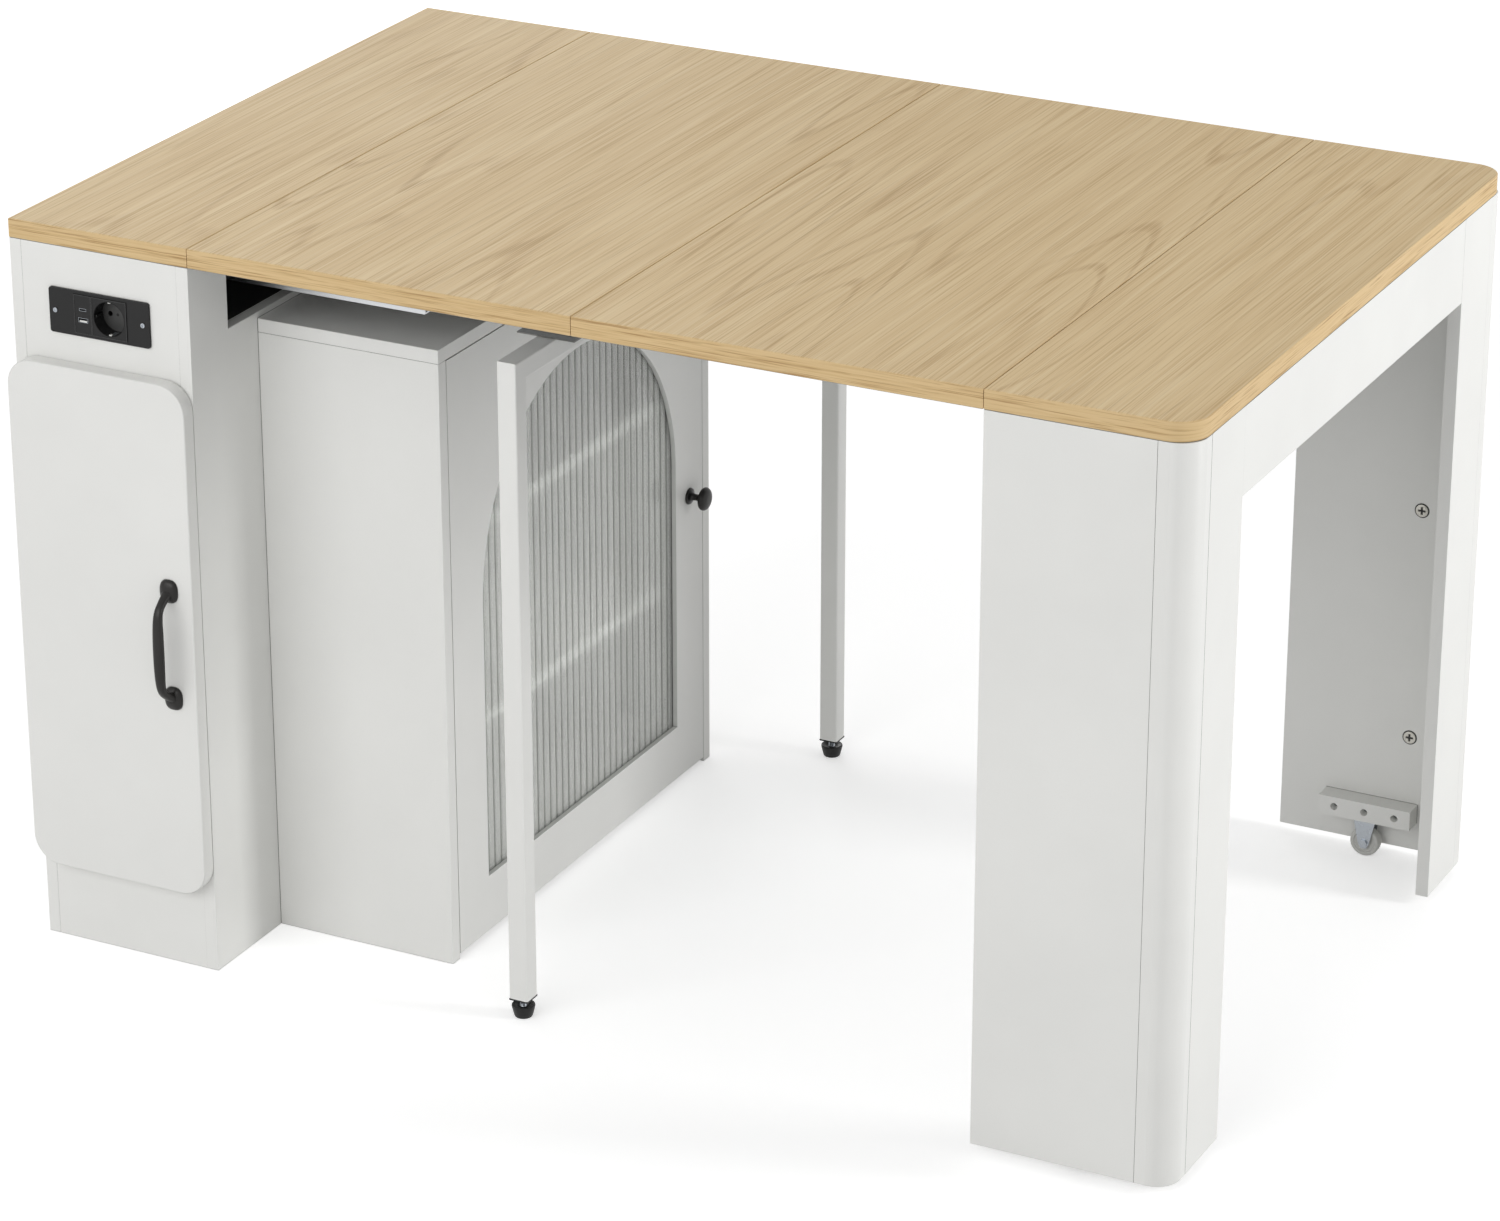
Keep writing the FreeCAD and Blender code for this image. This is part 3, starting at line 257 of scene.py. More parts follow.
def oak(name, shift):
    """Pale oak laminate: grain along Y on the face, lines along each edge band, and painted shade on the
    underside.
    """
    tree = new_finish(name)
    upward = tree.add("SeparateXYZ", {"Vector": tree.add("NewGeometry").outputs["Normal"]}).outputs["Z"]
    on_face = tree.span(tree.math("ABSOLUTE", upward), *FACE_SHOW)

    # face: broad soft streaks, pale and dark thin lines, and rings that close in long loops of short ticks
    streaks = tree.noise(tree.place(STREAK_GRAIN, shift), distortion=0.2)
    pale_lines = tree.noise(tree.place(PALE_GRAIN, shift), roughness=0.55, distortion=0.2)
    dark_lines = tree.noise(tree.place(DARK_GRAIN, shift), roughness=0.6, distortion=0.2)
    field = tree.noise(tree.place(RING_GRAIN, shift), detail=1.0, roughness=0.4, distortion=0.25)
    rings = tree.math("SINE", tree.math("MULTIPLY", field, RING_TURNS))
    patch = tree.noise(tree.place(PATCH_GRAIN, shift), detail=1.0)
    ring_share = tree.math("MULTIPLY", tree.span(rings, *RING_SHOW), tree.span(patch, *PATCH_SHOW))
    ring_ticks = tree.math("MULTIPLY", ring_share, tree.span(dark_lines, *RING_TICK_SHOW))
    face = tree.ramp(streaks, STREAK_STOPS)
    face = tree.blend(tree.span(pale_lines, *PALE_SHOW), face, OAK_LIGHT)
    face = tree.blend(tree.span(dark_lines, *DARK_SHOW), face, OAK_LINE)
    face = tree.blend(ring_ticks, face, OAK_LINE)

    # edge bands: fine layered lines that follow the edge
    layers = tree.noise(tree.place(LAYER_GRAIN, shift), roughness=0.6, distortion=0.4)
    ticks = tree.noise(tree.place(BAND_TICK_GRAIN, shift), roughness=0.6, distortion=0.3)
    band = tree.blend(tree.span(ticks, *BAND_TICK_SHOW), tree.ramp(layers, LAYER_STOPS), BAND_DEEP)

    # underside: painted shade, a darker grey for the faces that look down into the shade under the leaves,
    # faintly clouded
    cloud = tree.noise(tree.place(UNDERSIDE_SHADE_GRAIN, shift), detail=3.0, roughness=0.55)
    underside_shade = tree.blend(tree.span(cloud, *CLOUDS), UNDERSIDE_SHADE_DARK, UNDERSIDE_SHADE_PALE)

    colour = tree.blend(tree.span(upward, *UNDERSIDE_SHADE_SHOW), tree.blend(on_face, band, face), underside_shade)
    height = tree.blend(on_face, ticks, dark_lines)
    return tree.surface(Base_Color=colour, Roughness=tree.span(dark_lines, *CLOUDS, *OAK_ROUGHNESS),
                        Normal=tree.bump(height, OAK_BUMP_SHARE, FINE_BUMP_M), Specular_IOR_Level=OAK_GLOSS)


# Paints, plastics and metals

PLAIN_TONE_GRAIN = 14.0
PLAIN_ROUGH_SWING = 0.06
DRAWN_GRAIN = (4.0, 700.0, 700.0)
DRAWN_LINE_SHARE = 0.88
DRAWN_ROUGH_SWING = 0.08
DRAWN_BUMP_SHARE = 0.08


def plain(name, colour, roughness, metallic=0.0, grain=600.0, bump=0.05, variation=0.08, gloss=0.5):
    """A painted, moulded or plated finish with a fine surface grain and slight changes of tone."""
    tree = new_finish(name)
    spot = tree.place()
    tone = tree.noise(spot, PLAIN_TONE_GRAIN, detail=3.0)
    skin = tree.noise(spot, grain, roughness=0.6)
    shade = tree.blend(tree.span(tone, *CLOUDS), dimmed(colour, 1 - variation), colour)
    rough = tree.span(skin, *SKIN, roughness - PLAIN_ROUGH_SWING, roughness + PLAIN_ROUGH_SWING)
    return tree.surface(Base_Color=shade, Roughness=rough, Metallic=metallic, Specular_IOR_Level=gloss,
                        Normal=tree.bump(skin, bump, FINE_BUMP_M))


def drawn(name, colour, roughness):
    """Drawn metal with fine lines along X."""
    tree = new_finish(name)
    lines = tree.noise(tree.place(DRAWN_GRAIN), detail=3.0, roughness=0.6)
    shade = tree.blend(tree.span(lines, *CLOUDS), dimmed(colour, DRAWN_LINE_SHARE), colour)
    rough = tree.span(lines, *CLOUDS, roughness - DRAWN_ROUGH_SWING, roughness + DRAWN_ROUGH_SWING)
    return tree.surface(Base_Color=shade, Roughness=rough, Metallic=1.0,
                        Normal=tree.bump(lines, DRAWN_BUMP_SHARE, FINE_BUMP_M))


# Fluted glass

HAZE_GRAIN = (5.0, 5.0, 2.0)
RIB_HAZY = (0.94, 0.94, 0.92, 1.0)
RIB_CLEAR = (0.98, 0.98, 0.96, 1.0)
# painted shade: dark colours for the edges of the ribs, on the glass and in the light that goes straight
# through
RIB_PAINTED_SHADE = (0.34, 0.35, 0.33, 1.0)
THROUGH_RIB = (1.0, 1.0, 0.99, 1.0)
THROUGH_PAINTED_SHADE = (0.42, 0.43, 0.41, 1.0)
THROUGH_LIGHT = (0.9, 0.92, 0.91, 1.0)
# painted shade: a rib's dark edge comes in by how far its surface turns aside
RIB_SHADE_SHOW = (0.22, 0.32)
STRAIGHT_SHARE = 0.52
GLASS_IOR = 1.35
GLASS_CLEAR_SHARE = 0.46


def glass():
    """Fluted glass: clear ribs with painted shade where they meet, open to the light that falls through."""
    tree = new_finish("fluted_glass_finish")
    facing = tree.add("SeparateXYZ", {"Vector": tree.add("NewGeometry").outputs["Normal"]})
    # painted shade: darker where a rib's surface turns aside
    edge = tree.span(tree.math("ABSOLUTE", facing.outputs["Y"]), *RIB_SHADE_SHOW)
    haze = tree.noise(tree.place(HAZE_GRAIN))
    rib = tree.blend(tree.span(haze, *CLOUDS), RIB_HAZY, RIB_CLEAR)
    tree.surface(Base_Color=tree.blend(edge, rib, RIB_PAINTED_SHADE), Roughness=0.0, IOR=GLASS_IOR,
                 Transmission_Weight=GLASS_CLEAR_SHARE)
    # about half of the light goes straight on, which keeps what stands behind the ribs in sight
    straight = tree.add("BsdfTransparent", {"Color": tree.blend(edge, THROUGH_RIB, THROUGH_PAINTED_SHADE)})
    shown = tree.mix_shaders(STRAIGHT_SHARE, tree.nodes["Principled BSDF"].outputs["BSDF"],
                             straight.outputs["BSDF"])
    path = tree.add("LightPath")
    light = tree.math("MAXIMUM", path.outputs["Is Shadow Ray"], path.outputs["Is Diffuse Ray"])
    clear = tree.add("BsdfTransparent", {"Color": THROUGH_LIGHT})
    tree.set(tree.nodes["Material Output"], "Surface",
             tree.mix_shaders(light, shown, clear.outputs["BSDF"]))
    return tree.owner


# finishes that plain makes: colour, roughness, and what differs from its usual values
PLAIN_FINISHES = {
    "black_metal": (linear(30, 28, 26), 0.36,
                    dict(metallic=0.2, grain=500.0, bump=0.12, variation=0.2, gloss=0.4)),
    "black_plastic": (linear(22, 22, 22), 0.45, dict(grain=900.0, bump=0.06, variation=0.1, gloss=0.3)),
    "zinc_steel": (linear(176, 181, 187), 0.3, dict(metallic=1.0, grain=300.0, variation=0.15)),
    "box_plastic": (linear(120, 122, 126), 0.55, {}),
    "white_metal": (linear(233, 233, 230), 0.4, dict(grain=700.0, variation=0.02)),
    "dark_steel": (linear(122, 122, 119), 0.45, dict(metallic=0.5)),
    "white_bead": (linear(226, 226, 223), 0.5, {}),
    "pale_rubber": (linear(205, 205, 201), 0.6, dict(grain=500.0, bump=0.08, variation=0.05)),
    "cast_zinc": (linear(186, 184, 176), 0.34, dict(metallic=0.85, grain=400.0, bump=0.12, variation=0.2)),
    "bright_contact": (linear(226, 226, 222), 0.35, dict(metallic=0.3, grain=300.0, variation=0.1)),
    # painted light: a lighter grey copy of the black plastic for the shaded recess floor
    "recess_painted_light": (linear(62, 62, 61), 0.5, dict(grain=500.0, bump=0.3, variation=0.35)),
    "black_trim": (linear(30, 30, 30), 0.28, dict(grain=900.0, bump=0.04, variation=0.1)),
    # dark_lining also serves the cam fittings, where it is painted shade
    "dark_lining": (linear(30, 30, 29), 0.6, dict(grain=500.0, bump=0.08, variation=0.1)),
}
FINISHES = {
    "white_melamine": melamine(),
    "rail_aluminium": drawn("rail_aluminium_finish", linear(205, 207, 209), 0.32),
    "fluted_glass": glass(),
}
for finish_name, (colour, roughness, settings) in PLAIN_FINISHES.items():
    FINISHES[finish_name] = plain(finish_name + "_finish", colour, roughness, **settings)


def dress_nodes():
    """Give every CAD node its finish, by the slot that the record names."""
    slots = {part["node"]: part["material_slot"] for part in frame["record"]["subparts"]}
    for name, obj in NODES.items():
        if name in LEAF_SHIFTS:
            finish = oak("oak_" + name, LEAF_SHIFTS[name])
        else:
            finish = FINISHES[slots[name]]
        obj.data.materials.clear()
        obj.data.materials.append(finish)


dress_nodes()


# Mesh helpers: each builds a bmesh in millimetres, which a call to add_piece turns into an object

AROUND = 48
# shorter lengths than this count as none
TOUCHING = 0.001
# directions in which a piece's local Z can point
FORWARD = (0, -1, 0)
BACKWARD = (0, 1, 0)
SIDEWAYS = (1, 0, 0)


def add_piece(name, bm, body, slot, finish=None, origin=(0, 0, 0), up=(0, 0, 1), replaced=(), sharp=35.0):
    """Make an object of a bmesh whose local Z points along up from origin, and let it ride on a body.

    The slot serves only as the finish, when no other one is named.
    """
    turn = Vector((0, 0, 1)).rotation_difference(Vector(up)).to_matrix().to_4x4()
    bm.transform(Matrix.Scale(MM, 4) @ Matrix.Translation(Vector(origin)) @ turn)
    bmesh.ops.recalc_face_normals(bm, faces=bm.faces)
    mesh = bpy.data.meshes.new(name)
    bm.to_mesh(mesh)
    bm.free()
    mesh.shade_smooth()
    mesh.set_sharp_from_angle(angle=math.radians(sharp))
    mesh.materials.append(FINISHES[finish or slot])
    obj = bpy.data.objects.new(name, mesh)
    bpy.context.scene.collection.objects.link(obj)
    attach(obj, body)
    if replaced:
        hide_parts(*replaced)


def smooth_line(points, steps):
    """A soft line through the points, with so many steps from each to the next."""
    points = [Vector(point) for point in points]
    run = [2 * points[0] - points[1]] + points + [2 * points[-1] - points[-2]]
    line = []
    for before, start, end, after in zip(run, run[1:], run[2:], run[3:]):
        for i in range(steps):
            t = i / steps
            line.append(0.5 * (2 * start + (end - before) * t
                               + (2 * before - 5 * start + 4 * end - after) * t ** 2
                               + (3 * start - before - 3 * end + after) * t ** 3))
    line.append(points[-1])
    return line


def bridge(bm, low, high):
    """Faces between two rings of vertices, either of which may be a single point."""
    count = max(len(low), len(high))
    for i in range(count):
        j = (i + 1) % count
        corners = (low[i % len(low)], low[j % len(low)], high[j % len(high)], high[i % len(high)])
        unique = list(dict.fromkeys(corners))
        if len(unique) > 2:
            bm.faces.new(unique)


def bridge_all(bm, rings):
    for before, after in zip(rings, rings[1:]):
        bridge(bm, before, after)


def circle(radius, x=0.0):
    """Points of a circle round a place on X."""
    turns = [math.tau * i / AROUND for i in range(AROUND)]
    return [(x + radius * math.cos(turn), radius * math.sin(turn)) for turn in turns]


def lathe(profile, closed=False, bm=None):
    """A profile of (radius, height) turned about local Z. A closed one is a ring with a bore."""
    bm = bm or bmesh.new()
    rings = []
    for radius, height in profile:
        outline = circle(radius) if radius > TOUCHING else [(0, 0)]
        rings.append([bm.verts.new((x, y, height)) for x, y in outline])
    bridge_all(bm, rings + rings[:1] if closed else rings)
    return bm


def superellipse(half_wide, half_deep, power, count):
    """Points of a rounded rectangle's outline."""
    points = []
    for i in range(count):
        across = math.cos(math.tau * i / count)
        along = math.sin(math.tau * i / count)
        points.append((half_wide * math.copysign(abs(across) ** (2 / power), across),
                       half_deep * math.copysign(abs(along) ** (2 / power), along)))
    return points


def ring_edges(bm, ring):
    """New edges that join a ring's vertices and close it."""
    return [bm.edges.new(pair) for pair in zip(ring, ring[1:] + ring[:1])]


HEAD_BULGE_SHARE = 0.3
SLOT_BOTTOM_SHARE = 0.8


def cross_head(radius, height, ease, slot):
    """A round head with an eased edge and a cross-shaped slot, given as its length, width and depth."""
    slot_long, slot_wide, slot_deep = slot
    bulge = ease * HEAD_BULGE_SHARE
    bm = lathe([(0, 0), (radius, 0), (radius, height - ease), (radius - bulge, height - bulge),
                (radius - ease, height)])
    rim = [vert for vert in bm.verts if abs(vert.co.z - height) < TOUCHING]
    rim_edges = [edge for edge in bm.edges if all(vert in rim for vert in edge.verts)]
    long = slot_long / 2
    wide = slot_wide / 2
    outline = []
    for quarter in range(4):
        turn = Matrix.Rotation(quarter * math.pi / 2, 2)
        outline += [turn @ Vector(point) for point in ((long, -wide), (long, wide), (wide, wide))]
    top = [bm.verts.new((*point, height)) for point in outline]
    bmesh.ops.triangle_fill(bm, edges=rim_edges + ring_edges(bm, top), use_beauty=True)
    bottom = [bm.verts.new((*(point * SLOT_BOTTOM_SHARE), height - slot_deep)) for point in outline]
    bridge(bm, top, bottom)
    bm.faces.new(bottom)
    return bm


def window_frame(wide, tall, wall, deep):
    """A thin rectangular collar round local Z, open in the middle."""
    bm = bmesh.new()
    rings = []
    for inset, height in ((0, 0), (0, deep), (wall, deep), (wall, 0)):
        x = wide / 2 - inset
        y = tall / 2 - inset
        rings.append([bm.verts.new(corner) for corner in ((x, y, height), (-x, y, height), (-x, -y, height),
                                                          (x, -y, height))])
    bridge_all(bm, rings + rings[:1])
    return bm


SLAB_EASE_SHARE = 0.12


def slab(size, shift, bm=None):
    """An eight-cornered block with its edges eased."""
    bm = bm or bmesh.new()
    made = bmesh.ops.create_cube(bm, size=1.0, matrix=Matrix.Translation(shift)
                                 @ Matrix.Diagonal((*size, 1.0)))
    edges = list({edge for vert in made["verts"] for edge in vert.link_edges})
    bmesh.ops.bevel(bm, geom=edges, offset=min(size) * SLAB_EASE_SHARE, segments=2, affect="EDGES",
                    profile=0.5)
    return bm


def holed_disc(radius, holes):
    """A flat disc with round holes, given as pairs of place along X and radius."""
    bm = bmesh.new()
    edges = []
    for x, hole in [(0.0, radius)] + list(holes):
        edges += ring_edges(bm, [bm.verts.new((*point, 0.0)) for point in circle(hole, x)])
    bmesh.ops.triangle_fill(bm, edges=edges, use_beauty=True)
    return bm


# Bow handle: a swept grip between two domed pads

# half width and half height of a pad
HANDLE_PAD = (11.0, 13.5)
PAD_POWER = 2.7
# share of the pad's outline and height, from its foot to its crown
HANDLE_DOME = [(1.0, 0.0), (1.0, 1.6), (0.965, 2.9), (0.88, 4.2), (0.72, 5.4), (0.5, 6.4), (0.25, 7.0),
               (0.0, 7.2)]
# from the pad's middle to the grip's: distance along the door, distance from it, half width, half depth
HANDLE_RUN = [(1.5, 3.0, 6.8, 5.2), (4.5, 8.5, 5.4, 4.7), (9.0, 15.5, 4.7, 4.3), (15.5, 22.0, 4.8, 4.2),
              (25.0, 25.2, 5.4, 4.4), (42.0, 26.2, 6.2, 4.6)]
# the last three of these at the grip's middle
GRIP_MIDDLE = (26.4, 6.5, 4.6)
GRIP_STEPS = 6
GRIP_POWER = 2.5
GRIP_AROUND = 24


def add_grip(bm, middle_x, face, bottom, top):
    """The grip, swept from pad to pad in front of the door's face."""
    lower = [(bottom + way, *rest) for way, *rest in HANDLE_RUN]
    upper = [(top - way, *rest) for way, *rest in reversed(HANDLE_RUN)]
    line = smooth_line(lower + [((bottom + top) / 2, *GRIP_MIDDLE)] + upper, GRIP_STEPS)
    rings = []
    for i, (z, out, wide, deep) in enumerate(line):
        ahead = line[min(i + 1, len(line) - 1)]
        behind = line[max(i - 1, 0)]
        along = Vector((ahead[0] - behind[0], ahead[1] - behind[1])).normalized()
        section = superellipse(wide, deep, GRIP_POWER, GRIP_AROUND)
        rings.append([bm.verts.new((middle_x + across, face - out - outward * along.x, z - outward * along.y))
                      for across, outward in section])
    bridge_all(bm, rings)
    bm.faces.new(rings[0])
    bm.faces.new(rings[-1])


def add_pad(bm, middle_x, face, centre):
    """A domed pad on the door's face, with its middle at a height."""
    outline = superellipse(*HANDLE_PAD, PAD_POWER, AROUND)
    rings = []
    for share, height in HANDLE_DOME:
        points = outline if share else outline[:1]
        rings.append([bm.verts.new((middle_x + x * share, face - height, centre + y * share))
                      for x, y in points])
    bm.faces.new(rings[0])
    bridge_all(bm, rings)


def make_handle():
    low, high = box_mm("bow_handle")
    middle_x = (low.x + high.x) / 2
    bottom = low.z + HANDLE_PAD[1]
    top = high.z - HANDLE_PAD[1]
    bm = bmesh.new()
    add_grip(bm, middle_x, high.y, bottom, top)
    for centre in (bottom, top):
        add_pad(bm, middle_x, high.y, centre)
    add_piece("handle_bow", bm, "tower_door", "black_metal", replaced=["bow_handle"], sharp=50)


# Door knob: rosette, waisted neck and a mushroom head

KNOB_PROFILE = [(10.0, 0.0), (10.0, 1.2), (9.4, 2.4), (7.6, 3.4), (5.6, 4.2), (4.4, 6.0), (3.9, 9.0),
                (4.2, 12.0), (5.8, 14.4), (9.2, 16.0), (12.6, 17.6), (14.2, 20.0), (13.8, 22.6), (11.6, 25.0),
                (7.0, 26.6), (3.0, 27.0)]
KNOB_STEPS = 4


def make_knob():
    low, high = box_mm("door_knob")
    foot = (low.x, (low.y + high.y) / 2, (low.z + high.z) / 2)
    crown = KNOB_PROFILE[-1][1]
    turned = [tuple(point) for point in smooth_line(KNOB_PROFILE, KNOB_STEPS)]
    add_piece("knob_turned", lathe([(0, 0)] + turned + [(0, crown)]), "arched_door", "black_metal",
              origin=foot, up=SIDEWAYS, replaced=["door_knob"])


# Levelling feet: a flared cup and a threaded stem

FOOT_CUP = [(0.0, 0.0), (8.6, 0.0), (9.8, 0.5), (10.6, 2.0), (11.6, 6.0), (12.6, 10.0), (13.2, 12.8),
            (13.0, 14.4), (12.2, 15.0), (9.6, 14.6), (7.4, 13.4), (6.6, 12.4), (0.0, 12.4)]
STEM_RADIUS = 3.9
THREAD_DEPTH = 0.5
THREAD_PITCH = 1.25
STEM_BOTTOM = 11.0


def make_feet():
    for node in ("near_foot", "far_foot"):
        low, high = box_mm(node)
        origin = ((low.x + high.x) / 2, (low.y + high.y) / 2, 0)
        add_piece(node + "_cup", lathe(FOOT_CUP), node, "black_plastic", origin=origin, replaced=[node])
        turns = int((high.z - STEM_BOTTOM) / THREAD_PITCH)
        stem = [(0, STEM_BOTTOM)]
        for i in range(turns):
            base = STEM_BOTTOM + i * THREAD_PITCH
            stem += [(STEM_RADIUS - THREAD_DEPTH, base), (STEM_RADIUS, base + THREAD_PITCH / 2)]
        stem.append((0, STEM_BOTTOM + turns * THREAD_PITCH))
        add_piece(node + "_stem", lathe(stem), node, "zinc_steel", origin=origin, replaced=[node])


# Wheels: a rounded tread, a dished side and a raised hub

WHEEL_SIDE = [(3.05, 6.4), (5.4, 6.4), (6.0, 5.9), (6.4, 4.9), (12.6, 4.9), (13.4, 5.9), (15.6, 6.5),
              (17.0, 6.0), (17.8, 4.8), (18.0, 2.6)]


def make_wheels():
    other_side = [(radius, -height) for radius, height in reversed(WHEEL_SIDE)]
    for node in ("near_wheel", "far_wheel"):
        low, high = box_mm(node)
        add_piece(node + "_roller", lathe(WHEEL_SIDE + other_side, closed=True), node, "pale_rubber",
                  origin=(low + high) / 2, up=BACKWARD, replaced=[node])


# Cam fittings on the inner faces of the gate's wide boards

CAM_RADIUS = 7.6
CAM_HEIGHT = 1.3
CAM_EASE = 0.5
CAM_SLOT = (9.6, 2.6, 1.1)
CAM_LEVELS = (155.0, 441.0, 727.0)
CAM_FROM_POST = 30.0
# painted shade: a dark ring in the gap round the disc, and a dark sheet inside it that shows at the bottom of
# the cross where shade falls
CAM_SHADE_RING_RADIUS = 8.8
CAM_SHADE_RING = [(CAM_SHADE_RING_RADIUS, -0.3), (CAM_SHADE_RING_RADIUS, 0.3), (CAM_RADIUS, 0.4), (CAM_RADIUS, -0.3)]
CAM_SHADE_SHEET_RADIUS = 5.2
CAM_SHADE_SHEET = [(0.0, 0.25), (CAM_SHADE_SHEET_RADIUS, 0.25), (CAM_SHADE_SHEET_RADIUS, 0.45), (0.0, 0.45)]


def make_cam_discs():
    post_low, _ = box_mm("gate_near_post")
    for side, facing in (("near", BACKWARD), ("far", FORWARD)):
        low, high = box_mm("gate_" + side + "_wide")
        face = high.y if side == "near" else low.y
        for i, level in enumerate(CAM_LEVELS, start=1):
            at = (post_low.x - CAM_FROM_POST, face, level)
            name = "gate_" + side + "_cam_" + str(i)
            add_piece(name, cross_head(CAM_RADIUS, CAM_HEIGHT, CAM_EASE, CAM_SLOT), "gate", "zinc_steel",
                      "cast_zinc", at, facing)
            # painted shade: each disc's dark ring and sheet stand for the shade in its gap and in its cross
            rim = lathe(CAM_SHADE_SHEET, bm=lathe(CAM_SHADE_RING, closed=True))
            add_piece(name + "_rim", rim, "gate", "dark_lining", origin=at, up=facing)


# Socket unit: cross-headed screws, a collar and a floor in the round recess, rims, and lined charging ports

SCREW_RADIUS = 2.7
SCREW_EASE = 0.3
SCREW_SLOT = (3.4, 0.8, 0.7)
RECESS_RADIUS = 19.5
RECESS_FLOOR = 17.3
LINING_RADIUS = RECESS_RADIUS - 0.1
COLLAR_TOP_RADIUS = RECESS_RADIUS + 0.3
COLLAR_RADIUS = RECESS_RADIUS + 0.9
COLLAR_PROFILE = [(LINING_RADIUS, -1.5), (LINING_RADIUS, 0.0), (COLLAR_TOP_RADIUS, 0.0),
                  (COLLAR_RADIUS, -0.2), (COLLAR_RADIUS, -1.5)]
# blocks on the recess's wall: sizes towards its middle, across it and into it
GUIDE_SIZE = (2.2, 3.0, 11.0)
GUIDE_DEPTH = 8.0
CLIP_SIZE = (1.5, 3.4, 4.0)
CLIP_INSET = 1.0
# contact holes: place along X and radius
CONTACTS = ((-9.5, 3.1), (9.5, 3.1), (0.0, 1.7))
# modules with a rim each: node, width, height
MODULES = (("power_socket", 45.0, 45.0), ("usb_module", 22.5, 45.0))
MODULE_GAP = 0.3
MODULE_RIM_INSET = 0.3
MODULE_RIM_WALL = 0.9
MODULE_RIM_DEPTH = 0.6
# charging ports: name, height over the module's middle, width, height
PORTS = (("large", -6.5, 12.6, 5.2), ("small", 5.5, 9.0, 3.2))
PORT_WALL = 0.35
PORT_DEPTH = 0.8
PORT_INSET = 0.9
# the tongue in the large port: width, height and depth
PORT_CONTACT = (9.6, 1.9, 4.0)
PORT_CONTACT_INSET = 0.3
PORT_CONTACT_LIFT = 0.4


def inward(distance):
    """A way from the front into the socket unit."""
    return Vector((0, distance, 0))


def make_plate_screws():
    low, high = box_mm("faceplate_screws")
    face = box_mm("socket_faceplate")[0].y
    half = (high.z - low.z) / 2
    for side, x in (("left", low.x + half), ("right", high.x - half)):
        head = cross_head(SCREW_RADIUS, high.y - low.y, SCREW_EASE, SCREW_SLOT)
        add_piece("plate_screw_" + side, head, "carcass", "zinc_steel", origin=(x, face, low.z + half),
                  up=FORWARD, replaced=["faceplate_screws"])


def make_recess():
    centre = front_mm("power_socket")
    collar = lathe(COLLAR_PROFILE, closed=True)
    for turn in (0, math.pi):
        place = Vector((RECESS_RADIUS - GUIDE_SIZE[0] / 2, 0, -GUIDE_DEPTH))
        slab(GUIDE_SIZE, Matrix.Rotation(turn, 3, "Z") @ place, collar)
    add_piece("socket_collar", collar, "carcass", "black_plastic", origin=centre, up=FORWARD)
    # painted light: the recess floor is given a lighter grey than the black plastic, against the shade in the
    # recess
    add_piece("recess_floor", holed_disc(LINING_RADIUS, CONTACTS), "carcass", "black_plastic",
              "recess_painted_light", centre + inward(RECESS_FLOOR), FORWARD)
    for side, turn in (("high", math.pi / 2), ("low", -math.pi / 2)):
        tip = slab(CLIP_SIZE, Vector((RECESS_RADIUS - CLIP_SIZE[0] / 2, 0, -CLIP_INSET - CLIP_SIZE[2] / 2)))
        bmesh.ops.rotate(tip, verts=tip.verts, matrix=Matrix.Rotation(turn, 3, "Z"))
        add_piece("earth_contact_" + side, tip, "carcass", "zinc_steel", "bright_contact", centre, FORWARD)


def make_module_rims():
    for name, wide, tall in MODULES:
        rim = window_frame(wide - MODULE_GAP, tall - MODULE_GAP, MODULE_RIM_WALL, MODULE_RIM_DEPTH)
        add_piece(name + "_rim", rim, "carcass", "black_plastic", "black_trim",
                  front_mm(name) + inward(MODULE_RIM_INSET), FORWARD)


def make_ports():
    centre = front_mm("usb_module")
    _, large_height, _, large_tall = PORTS[0]
    lift = large_height - large_tall / 2 + PORT_CONTACT[1] / 2 + PORT_CONTACT_LIFT
    add_piece("port_contact", slab(PORT_CONTACT, (0, 0, -PORT_CONTACT[2] / 2)), "carcass", "zinc_steel",
              "bright_contact", centre + inward(PORT_CONTACT_INSET) + Vector((0, 0, lift)), FORWARD)
    for name, height, wide, tall in PORTS:
        shell = window_frame(wide, tall, PORT_WALL, PORT_DEPTH)
        add_piece("port_shell_" + name, shell, "carcass", "zinc_steel",
                  origin=centre + inward(PORT_INSET) + Vector((0, 0, height)), up=FORWARD)


# Fluted glass: one round rib after another, cut to the arch

FLUTE_PITCH = 14.6
FLUTE_DEPTH = 1.3
FLUTE_STEPS = 12


def make_glass():
    low, high = box_mm("fluted_glass")
    half = (high.y - low.y) / 2
    middle = (high.y + low.y) / 2
    spring = high.z - half
    arc_radius = (FLUTE_PITCH ** 2 / 4 + FLUTE_DEPTH ** 2) / (2 * FLUTE_DEPTH)
    step = FLUTE_PITCH / FLUTE_STEPS
    # a groove, not a rib, is at the sheet's middle where an odd number of pitches covers its width
    offset = (math.ceil(2 * half / FLUTE_PITCH) % 2) * FLUTE_PITCH / 2
    count = math.floor(half / step)
    places = [-half] + [i * step for i in range(-count, count + 1)] + [half]
    bm = bmesh.new()
    columns = []
    for y in places:
        from_rib = (y + offset + FLUTE_PITCH / 2) % FLUTE_PITCH - FLUTE_PITCH / 2
        front = high.x - arc_radius + math.sqrt(arc_radius ** 2 - from_rib ** 2)
        top = spring + math.sqrt(max(half ** 2 - y ** 2, 0.0))
        corners = ((front, low.z), (front, top), (low.x, top), (low.x, low.z))
        columns.append([bm.verts.new((x, middle + y, z)) for x, z in corners])
    bridge_all(bm, columns)
    bm.faces.new(columns[0])
    bm.faces.new(columns[-1])
    add_piece("glass_sheet", bm, "arched_door", "fluted_glass", replaced=["fluted_glass"], sharp=15)


